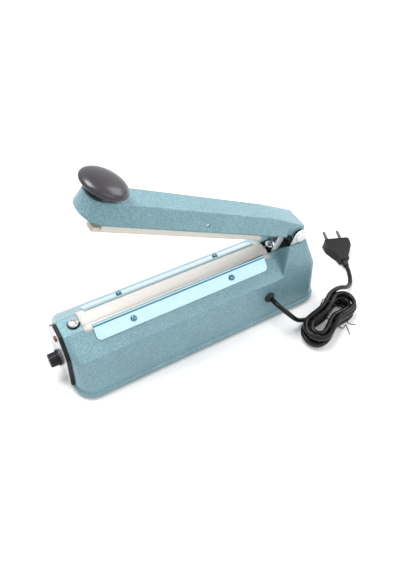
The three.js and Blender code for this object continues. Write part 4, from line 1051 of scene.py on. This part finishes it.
@dataclass
class Studio:
    """Plain pale floor, soft lamps, and the camera at the photograph's place."""

    camera_place: Point = (-0.20821, -0.30148, 0.51984)
    right: Point = (0.85751116, -0.50761329, 0.0836861)
    up: Point = (0.35226493, 0.6978872, 0.62358871)
    back: Point = (-0.37494537, -0.5052546, 0.77726042)
    lens_mm: float = 34.515
    nearest: float = 0.01
    floor_size: float = 6.0
    floor_colour: str = "#F4F4F4"
    floor_lift: float = 0.16
    sky: float = 0.5
    lit_middle: Point = (0.0, 0.0, 0.06)
    boxes: tuple[SoftBox, ...] = (
        SoftBox("top_box", (-0.3, 0.4, 1.5), 0.7, 20.0),
        SoftBox("side_box", (0.7, -1.2, 1.1), 1.25, 6.2),
        SoftBox("rear_box", (1.3, 0.1, 0.9), 0.8, 8.0),
    )

    def camera(self) -> None:
        """Set the camera that the photograph was fitted with."""
        data = bpy.data.cameras.new("camera")
        data.lens = self.lens_mm
        data.clip_start = self.nearest
        camera = stand("camera", data)
        turn = Matrix((self.right, self.up, self.back)).transposed().to_4x4()
        camera.matrix_world = Matrix.Translation(self.camera_place) @ turn
        bpy.context.scene.camera = camera

    def floor(self) -> None:
        """Lay the floor, which shows white where nothing shades it."""
        shape = bmesh.new()
        bmesh.ops.create_grid(shape, size=self.floor_size / 2)
        floor = stand("floor", smooth_mesh("floor", shape))
        material = bpy.data.materials.new("floor_paper")
        material.use_nodes = True
        tree = material.node_tree
        tree.nodes.clear()
        paper = add_node(tree, "BsdfDiffuse", {"Color": linear(self.floor_colour)})
        shown = {0: seen_directly(tree), 1: self.floor_lift}
        lift = add_node(tree, "Math", shown, operation="MULTIPLY")
        glow = add_node(tree, "Emission", {"Strength": lift})
        show(tree, "Material", add_node(tree, "AddShader", {0: paper, 1: glow}))
        floor.data.materials.append(material)

    def surroundings(self) -> None:
        """Light everything softly from all round, with white where the camera looks past."""
        world = bpy.data.worlds.new("studio")
        world.use_nodes = True
        tree = world.node_tree
        tree.nodes.clear()
        levels = {"Value": seen_directly(tree), "To Min": self.sky, "To Max": 1.0}
        strength = add_node(tree, "MapRange", levels)
        sky = {"Color": linear("#FFFFFF"), "Strength": strength}
        show(tree, "World", add_node(tree, "Background", sky))
        bpy.context.scene.world = world

    def build(self) -> None:
        """Set the whole studio."""
        bpy.context.scene.view_settings.view_transform = "Standard"
        self.camera()
        self.floor()
        self.surroundings()
        for box in self.boxes:
            box.hang(Vector(self.lit_middle))


@dataclass
class Castings:
    """The body and the arm, cast and stoved in hammertone enamel."""

    bench: Bench
    edge_mm: float = 0.9
    segments: int = 3
    thin_x: Flat = (0.2415, 0.2525)
    thin_skin: tuple[Flat, ...] = ((0.01458, 0.07317), (0.01355, 0.07407))
    under_skin: float = 0.00002
    filling: float = 0.0008

    def close_slits(self, housing: bpy.types.Mesh) -> None:
        """Fill the two thin places of the slopes in front of the tower, just under their skin.

        Args:
            housing: the mesh that takes the fillings.
        """
        shape = bmesh.new()
        shape.from_mesh(housing)
        ring = [(y - self.under_skin, z - self.under_skin) for y, z in self.thin_skin]
        ring += [(y - self.filling, z - self.filling) for y, z in reversed(self.thin_skin)]
        for side in (-1.0, 1.0):
            ends = [
                [shape.verts.new((x + CASTING_SHIFT, side * y, z)) for y, z in ring]
                for x in self.thin_x
            ]
            loops = [shape.faces.new(end).edges[:] for end in ends]
            walls = bmesh.ops.bridge_loops(shape, edges=loops[0] + loops[1])["faces"]
            closed = {face for wall in walls for edge in wall.edges for face in edge.link_faces}
            bmesh.ops.recalc_face_normals(shape, faces=list(closed))
        shape.to_mesh(housing)
        shape.free()

    def build(self) -> None:
        """Finish both castings."""
        sizes = (Slot.ENAMEL, self.edge_mm, self.segments)
        housing = self.bench.eased("lower_housing", HAMMERTONE, Body.BASE, *sizes)
        self.close_slits(housing.data)
        self.bench.eased("upper_arm", HAMMERTONE, Body.ARM, *sizes)


@dataclass
class PushKnob:
    """The round knob that the hand presses, on a short neck above the arm's nose."""

    bench: Bench
    ahead_mm: float = 253.5
    radius_mm: float = 21.0
    rim_mm: float = 22.4
    crown_mm: float = 7.8
    belly_mm: float = 5.4
    neck_mm: float = 8.6
    neck_fillet_mm: float = 0.6
    flange_mm: float = 11.5
    flange_edge_mm: Flat = (0.5, 0.8)  # inward and down
    flange_dish_mm: float = 0.3
    base_mm: float = 14.01
    flange_top_mm: float = 16.21
    belly_steps: int = 14
    crown_steps: int = 22
    steps: int = 96

    def build(self) -> None:
        """Turn the knob and finish its screw."""
        lift = math.degrees(math.acos(self.neck_mm / self.radius_mm))
        rim = (0.0, self.rim_mm)
        belly = arc(rim, (self.radius_mm, self.belly_mm), -lift, 0.0, self.belly_steps)
        crown = arc(rim, (self.radius_mm, self.crown_mm), 0.0, 90.0, self.crown_steps)
        flange, top = self.flange_mm, self.flange_top_mm
        inward, below = self.flange_edge_mm
        profile = [
            (0.0, self.base_mm),
            (flange, self.base_mm),
            (flange, top - below),
            (flange - inward, top - self.flange_dish_mm),
            (self.neck_mm + self.neck_fillet_mm, top),
            *belly,
            *crown[1:-1],
            (0.0, self.rim_mm + self.crown_mm),
        ]
        place = self.bench.open_arm() @ Matrix.Translation((-self.ahead_mm * MM, 0.0, 0.0))
        knob = smooth_mesh("push_knob", turned(profile, place, self.steps))
        self.bench.keep("push_knob", knob, KNOB_PHENOLIC, Body.ARM, Slot.KNOB, "press_knob")
        self.bench.paint(BRIGHT_ZINC, "knob_screw")


@dataclass(frozen=True)
class PanHead:
    """A domed screw head with a cross recess, drawn from its seat up."""

    radius_mm: float
    height_mm: float
    shank_mm: float
    reach_mm: float
    recess_mm: float
    foot_mm: float = 0.15
    rim_share: float = 0.35
    recess_floor: float = 0.45
    recess_aspect: float = 0.2
    over_mm: float = 1.0  # how far the recess's tools stand out of the head
    dome_steps: int = 9
    steps: int = 36
    sharp: float = 28.0

    def mesh(self, name: str, place: Matrix, turn: float) -> bpy.types.Mesh:
        """Turn the screw and cut its recess.

        Args:
            name: the mesh's name.
            place: the seat's place, with local Z out of the head.
            turn: how far the recess is turned, in degrees.

        Returns:
            The screw's mesh.
        """
        radius, height = self.radius_mm, self.height_mm
        rim = height * self.rim_share
        profile = [
            (0.0, -self.reach_mm),
            (self.shank_mm, -self.reach_mm),
            (self.shank_mm, 0.0),
            (radius - self.foot_mm, 0.0),
            (radius, self.foot_mm),
            *arc((0.0, rim), (radius, height - rim), 0.0, 90.0, self.dome_steps)[:-1],
            (0.0, height),
        ]
        there = place @ Matrix.Rotation(math.radians(turn), 4, "Z")
        long, wide = self.recess_mm, self.recess_mm * self.recess_aspect
        low, top = height * self.recess_floor, height + self.over_mm
        tools = [
            bar_between((-x, -y, low), (x, y, top), there) for x, y in ((long, wide), (wide, long))
        ]
        return smooth_mesh(name, cut_out(turned(profile, place, self.steps), tools), self.sharp)


@dataclass
class HeatingLine:
    """Silicone bed, element, cloth and clamp plates along the top of the body."""

    bench: Bench
    cloth_mm: float = 0.25
    cloth_steps: int = 40
    cloth_sag: float = 0.00015
    cloth_hem: float = 0.0002
    cloth_deck: float = 0.07715
    bed_crest: float = 0.0014
    bed_shoulder: float = 0.0052
    bed_foot: float = 0.0064
    bend: Flat = (0.0004, 0.0006)  # inward and up, where the cloth turns
    deck_half_width: float = 0.0102
    deck_height: float = 0.077
    slope: Flat = (0.75297, -0.65806)  # across and up, one metre down it
    screw_down: float = 0.0083
    screw_seat: float = 0.00175
    clamp_head: PanHead = PanHead(3.2, 2.2, shank_mm=1.5, reach_mm=8.75, recess_mm=1.9)
    clamp_screws: int = 4
    clamp_turn: float = 35.0
    terminal_head: PanHead = PanHead(5.4, 3.2, shank_mm=2.0, reach_mm=0.0, recess_mm=3.1)
    terminal_turn: Flat = (20.0, 65.0)

    def build(self) -> None:
        """Dress the heating line from the bed up."""
        self.bench.paint(BED_SILICONE, "bed_strip")
        self.bench.paint(ELEMENT_STRIP, "heating_element")
        self.cloth()
        for side in ("near", "far"):
            plate = f"clamp_plate_{side}"
            self.bench.eased(plate, CLAMP_SHEET, Body.BASE, Slot.CLAMP, edge_mm=0.25)
        for number in range(1, self.clamp_screws + 1):
            self.clamp_screw(number)
        for end, turn in zip(("front", "rear"), self.terminal_turn):
            self.terminal_screw(f"terminal_screw_{end}", turn)
        for node in ("terminal_bush", "terminal_block"):
            self.bench.eased(node, BLACK_MOULDING, Body.BASE, Slot.BLACK)

    def screw(self, node: str, head: PanHead, place: Matrix, turn: float, finish: Finish) -> None:
        """Stand a cross headed screw in place of a packed one.

        Args:
            node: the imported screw.
            head: its shape.
            place: its seat, with local Z out of the head.
            turn: how far its recess is turned, in degrees.
            finish: what it is plated with.
        """
        name = f"{node}_turned"
        mesh = head.mesh(name, place, turn)
        self.bench.keep(name, mesh, finish, Body.BASE, Slot.BRIGHT, node)

    def clamp_screw(self, number: int) -> None:
        """Stand one of the screws that hold the clamp plates to the slopes.

        Args:
            number: which of the four, from 1.
        """
        node = f"clamp_screw_{number}"
        middle = sum(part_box(node), Vector()) / 2
        side = math.copysign(1.0, middle.y)
        across, up = self.slope
        out = Vector((0.0, side * -up, across))
        down = Vector((0.0, side * across, up))
        edge = Vector((middle.x, side * self.deck_half_width, self.deck_height))
        place = frame_of(edge + down * self.screw_down + out * self.screw_seat, out, down)
        # the clamp screws' finish carries a painted dark reflection
        self.screw(node, self.clamp_head, place, self.clamp_turn * number, ZINC_PAINTED_DARK_REFLECTION)

    def terminal_screw(self, node: str, turn: float) -> None:
        """Stand one of the screws that clamp the ends of the element.

        Args:
            node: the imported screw.
            turn: how far its recess is turned, in degrees.
        """
        low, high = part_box(node)
        height = self.terminal_head.height_mm
        head = replace(self.terminal_head, reach_mm=(high.z - low.z) / MM - height)
        seat = Vector(((low.x + high.x) / 2, 0.0, high.z - height * MM))
        self.screw(node, head, Matrix.Translation(seat), turn, BRIGHT_ZINC)

    def cloth_half(self, high: Vector, low: Vector) -> list[Flat]:
        """Give half of the cloth's section, from the middle of the bed down a slope.

        Args:
            high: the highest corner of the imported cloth.
            low: its lowest corner.

        Returns:
            The points, across and up.
        """
        thick = self.cloth_mm * MM
        top, deck = high.z - thick, self.cloth_deck
        inward, rise = self.bend
        return [
            (0.0, top),
            (self.bed_crest, top),
            (self.bed_shoulder, top - self.cloth_sag),
            (self.bed_foot - inward, deck + rise),
            (self.bed_foot, deck),
            (self.deck_half_width, deck),
            (self.deck_half_width + rise, deck - thick),
            (high.y - self.cloth_hem, low.z + self.cloth_sag),
        ]

    def cloth(self) -> None:
        """Lay the coated cloth over the bed and down both slopes."""
        low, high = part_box("ptfe_cloth")
        half = self.cloth_half(high, low)
        section = [(-y, z) for y, z in reversed(half[1:])] + half
        shape = bmesh.new()
        verts = [shape.verts.new((low.x, y, z)) for y, z in section]
        edges = [shape.edges.new(pair) for pair in zip(verts, verts[1:])]
        step = (high.x - low.x) / self.cloth_steps
        for _ in range(self.cloth_steps):
            grown = bmesh.ops.extrude_edge_only(shape, edges=edges)["geom"]
            new = [g for g in grown if isinstance(g, bmesh.types.BMVert)]
            edges = [g for g in grown if isinstance(g, bmesh.types.BMEdge)]
            edges = [e for e in edges if e.is_boundary and all(v in new for v in e.verts)]
            bmesh.ops.translate(shape, vec=(step, 0.0, 0.0), verts=new)
        bmesh.ops.recalc_face_normals(shape, faces=shape.faces)
        if sum(f.normal.z * f.calc_area() for f in shape.faces) < 0:
            bmesh.ops.reverse_faces(shape, faces=shape.faces)
        name = "ptfe_cloth_laid"
        mesh = smooth_mesh(name, shape, SOFT_SHARP)
        cloth = self.bench.keep(name, mesh, PTFE_CLOTH, Body.BASE, Slot.CLOTH, "ptfe_cloth")
        body = cloth.modifiers.new("thickness", "SOLIDIFY")
        body.thickness = self.cloth_mm * MM
        body.offset = 1.0


@dataclass
class ReturnSpring:
    """Double torsion spring on its two studs, with a bow that holds the arm up."""

    bench: Bench
    rod_x: float = 0.2639
    rod_height: float = 0.089
    wire_radius: float = 0.00065
    coil_radius: float = 0.0043
    coil_pitch: float = 0.00175
    coil_turns: int = 4
    coil_inner: float = 0.010
    reach: float = 0.031
    foot_height: float = 0.070
    foot_share: float = 0.9  # how much of the foot leg is straight
    under_roof: float = 0.00873  # the bow's height above the pin, along the closed arm
    bow_bend: float = 0.002
    bow_round: float = 0.3  # how far along its bend the bow's corner is cut
    turn_steps: int = 14

    def half(self, rod: Vector, bow: Vector) -> list[Vector]:
        """Give the near half of the wire, from its foot to the middle of the bow.

        Args:
            rod: the middle of the coil's axis.
            bow: the middle of the bow.

        Returns:
            The points that the wire passes.
        """
        x, z, radius = rod.x, rod.z, self.coil_radius
        away = math.hypot(bow.x - x, bow.z - z)
        leave = math.atan2(bow.z - z, bow.x - x) + math.acos(radius / away)
        turn = math.pi * (2 * self.coil_turns + 1) - leave
        outer = self.coil_inner + turn / math.tau * self.coil_pitch
        foot = self.foot_height
        heights = (foot, foot + (z - foot) * self.foot_share)
        points = [Vector((x - radius, outer, height)) for height in heights]
        steps = round(turn / math.tau * self.turn_steps)
        for i in range(steps + 1):
            angle = math.pi - turn * i / steps
            y = outer + (self.coil_inner - outer) * i / steps
            points.append(Vector((x + radius * math.cos(angle), y, z + radius * math.sin(angle))))
        corner = Vector((bow.x, self.coil_inner, bow.z))
        along = (corner - points[-1]).normalized() * self.bow_bend
        across = Vector((0.0, self.bow_bend, 0.0))
        cut = corner - (along + across) * self.bow_round
        return [*points, corner - along, cut, corner - across]

    def build(self) -> None:
        """Wind the spring with its bow under the open arm."""
        rod = Vector((self.rod_x + CASTING_SHIFT, 0.0, self.rod_height))
        bow = self.bench.open_arm() @ Vector((-self.reach, 0.0, self.under_roof))
        half = self.half(rod, bow)
        path = half + [Vector((p.x, -p.y, p.z)) for p in reversed(half)]
        mesh = meshed(line_curve("spring_line", path, self.wire_radius, smooth=3))
        mesh.shade_smooth()
        mesh.set_sharp_from_angle(angle=math.radians(SOFT_SHARP))
        spring = self.bench.keep(
            "wound_spring", mesh, SPRING_WIRE, None, Slot.SPRING, "return_spring"
        )
        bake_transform(spring)


@dataclass
class HingeTower:
    """Plates, pin, studs, striker and switch at the rear of the body."""

    bench: Bench

    def build(self) -> None:
        """Dress the hinge and what it works."""
        base, arm, eased = Body.BASE, Body.ARM, self.bench.eased
        for side in ("near", "far"):
            eased(f"hinge_plate_{side}", ZINC_PAINTED_PALE_REFLECTION, base, Slot.BRIGHT, edge_mm=0.35)
            eased(f"hinge_spacer_{side}", BLACK_MOULDING, base, Slot.BLACK)
            eased(f"spring_stud_{side}", BRIGHT_ZINC, base, Slot.BRIGHT)
        eased("hinge_pin", ZINC_PAINTED_PALE_REFLECTION, base, Slot.BRIGHT, edge_mm=0.35)
        eased("pin_clip", SPRING_WIRE, base, Slot.SPRING, edge_mm=0.15)
        eased("switch_striker", ZINC_PAINTED_PALE_REFLECTION, arm, Slot.BRIGHT)
        eased("striker_screw", BRIGHT_ZINC, arm, Slot.BRIGHT, edge_mm=0.2)
        eased("bar_pivot_pin", ZINC_PAINTED_PALE_REFLECTION, arm, Slot.BRIGHT, edge_mm=0.4)
        eased("microswitch_body", BLACK_MOULDING, base, Slot.BLACK)
        self.bench.paint(BLACK_MOULDING, "microswitch_plunger")


@dataclass
class PressureJaw:
    """The bar that presses the bag onto the heating line, with its silicone strip."""

    bench: Bench

    def build(self) -> None:
        """Dress the bar and its strip."""
        self.bench.eased("pressure_bar", WHITE_ENAMEL, Body.JAW, Slot.BAR)
        self.bench.eased("silicone_strip", SILICONE, Body.JAW, Slot.SILICONE, edge_mm=0.5)


@dataclass
class FrontPanel:
    """End cap, dial plate with its numbers, timer knob and lamp."""

    bench: Bench
    dial_radius_mm: float = 14.2
    knob_height_mm: float = 31.5
    numbers: int = 9
    sweep: float = 270.0
    figure_mm: float = 3.0
    ink_mm: float = 0.06
    tick_mm: Flat = (0.4, 1.8)  # across and along
    tick_inward_mm: float = 3.4
    pointer_half_mm: float = 0.35
    pointer_mm: Flat = (1.5, 6.6)  # from and to, out from the axis
    pointer_depth_mm: Flat = (-0.3, 0.03)
    rest_angle: float = -15.0

    def on_plate(self, angle: float, radius_mm: float) -> Vector:
        """Give a point of the dial.

        Args:
            angle: degrees clockwise from straight up, seen from the front.
            radius_mm: how far it lies from the knob's axis.

        Returns:
            The point on the plate's front.
        """
        turn = math.radians(angle)
        across, up = -radius_mm * math.sin(turn), self.knob_height_mm + radius_mm * math.cos(turn)
        return Vector((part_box("dial_plate")[0].x, across * MM, up * MM))

    @staticmethod
    def facing(point: Vector, turn: float = 0.0) -> Matrix:
        """Give the matrix that lays flat work on the plate.

        Args:
            point: where its origin goes.
            turn: how many degrees it turns clockwise.

        Returns:
            The place, with local X to the right and local Y up as seen from the front.
        """
        flat = Matrix(((0, -1, 0), (0, 0, 1), (-1, 0, 0))).transposed().to_4x4()
        return Matrix.Translation(point) @ flat @ Matrix.Rotation(-math.radians(turn), 4, "Z")

    def figure(self, text: str, angle: float) -> bpy.types.Mesh:
        """Make one printed figure.

        Args:
            text: what it reads.
            angle: where it stands on the dial.

        Returns:
            Its mesh, in place.
        """
        curve = bpy.data.curves.new("figure", "FONT")
        curve.body = text
        curve.size = self.figure_mm * MM
        curve.extrude = self.ink_mm * MM / 2
        curve.align_x = "CENTER"
        curve.align_y = "CENTER"
        mesh = meshed(stand("figure", curve))
        mesh.transform(self.facing(self.on_plate(angle, self.dial_radius_mm)))
        return mesh

    def tick(self, angle: float) -> bpy.types.Mesh:
        """Make the printed tick inside a figure.

        Args:
            angle: where it stands on the dial.

        Returns:
            Its mesh, in place.
        """
        place = self.facing(self.on_plate(angle, self.dial_radius_mm - self.tick_inward_mm), angle)
        corner = (self.tick_mm[0] / 2, self.tick_mm[1] / 2, self.ink_mm)
        return smooth_mesh("tick", bar_between(tuple(-c for c in corner), corner, place))

    def dial(self) -> None:
        """Print the figures and their ticks on the plate."""
        shape = bmesh.new()
        for number in range(self.numbers):
            angle = self.sweep * (number / (self.numbers - 1) - 0.5)
            shape.from_mesh(self.figure(str(number), angle))
            shape.from_mesh(self.tick(angle))
        mesh = smooth_mesh("dial_figures", shape)
        self.bench.keep("dial_figures", mesh, DIAL_INK, Body.BASE, Slot.BLACK)

    def pointer(self) -> None:
        """Print the line on the timer knob that shows where it stands."""
        low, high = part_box("timer_knob")
        middle = Vector((low.x, (low.y + high.y) / 2, self.knob_height_mm * MM))
        half, run, depth = self.pointer_half_mm, self.pointer_mm, self.pointer_depth_mm
        place = self.facing(middle, self.rest_angle)
        line = bar_between((-half, run[0], depth[0]), (half, run[1], depth[1]), place)
        mesh = smooth_mesh("pointer_line", line)
        self.bench.keep("pointer_line", mesh, WHITE_ENAMEL, Body.DIAL, Slot.BLACK)

    def build(self) -> None:
        """Dress the panel and what stands on it."""
        base, eased = Body.BASE, self.bench.eased
        eased("end_cap", BLACK_MOULDING, base, Slot.BLACK, edge_mm=0.5, segments=3)
        eased("dial_plate", DIAL_SHEET, base, Slot.DIAL, edge_mm=0.12)
        eased("indicator_lamp", LAMP_LENS, base, Slot.LAMP, edge_mm=0.5, segments=3)
        eased("timer_knob", BLACK_MOULDING, Body.DIAL, Slot.BLACK, edge_mm=0.15)
        self.bench.paint(BRIGHT_ZINC, "potentiometer", "potentiometer_nut")
        self.dial()
        self.pointer()


@dataclass
class Underside:
    """Base plate with its screws and rubber feet."""

    bench: Bench
    feet: int = 4

    def build(self) -> None:
        """Dress what the body stands on."""
        base, eased = Body.BASE, self.bench.eased
        eased("base_plate", BRIGHT_ZINC, base, Slot.BRIGHT, edge_mm=0.2)
        for number in range(1, self.feet + 1):
            eased(f"rubber_foot_{number}", FOOT_RUBBER, base, Slot.RUBBER, edge_mm=0.5)
            eased(f"base_screw_{number}", BRIGHT_ZINC, base, Slot.BRIGHT, edge_mm=0.2)


@dataclass
class Works:
    """What works inside the body."""

    bench: Bench

    def build(self) -> None:
        """Dress the transformer, board and relay, and the grommet in the wall."""
        self.bench.paint(CORE_SHEET, "transformer_core")
        self.bench.paint(COIL_TAPE, "transformer_winding")
        self.bench.paint(BOARD, "circuit_board")
        self.bench.paint(BLACK_MOULDING, "relay")
        self.bench.eased("cord_grommet", FOOT_RUBBER, Body.BASE, Slot.BLACK)


def write_sizes() -> None:
    """Update the view layer; nothing is written.
    """
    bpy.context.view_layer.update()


def main() -> None:
    """Dress the whole sealer and set its studio."""
    logging.basicConfig(level=logging.INFO, format="%(name)s: %(message)s")
    bench = Bench(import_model())
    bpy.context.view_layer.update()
    Studio().build()
    for part in (
        Lead(bench),
        Castings(bench),
        PushKnob(bench),
        HeatingLine(bench),
        HingeTower(bench),
        ReturnSpring(bench),
        PressureJaw(bench),
        FrontPanel(bench),
        Underside(bench),
        Works(bench),
    ):
        part.build()
    write_sizes()
    log.info("%d new pieces", len(bench.made))


if __name__ == "__main__":
    main()
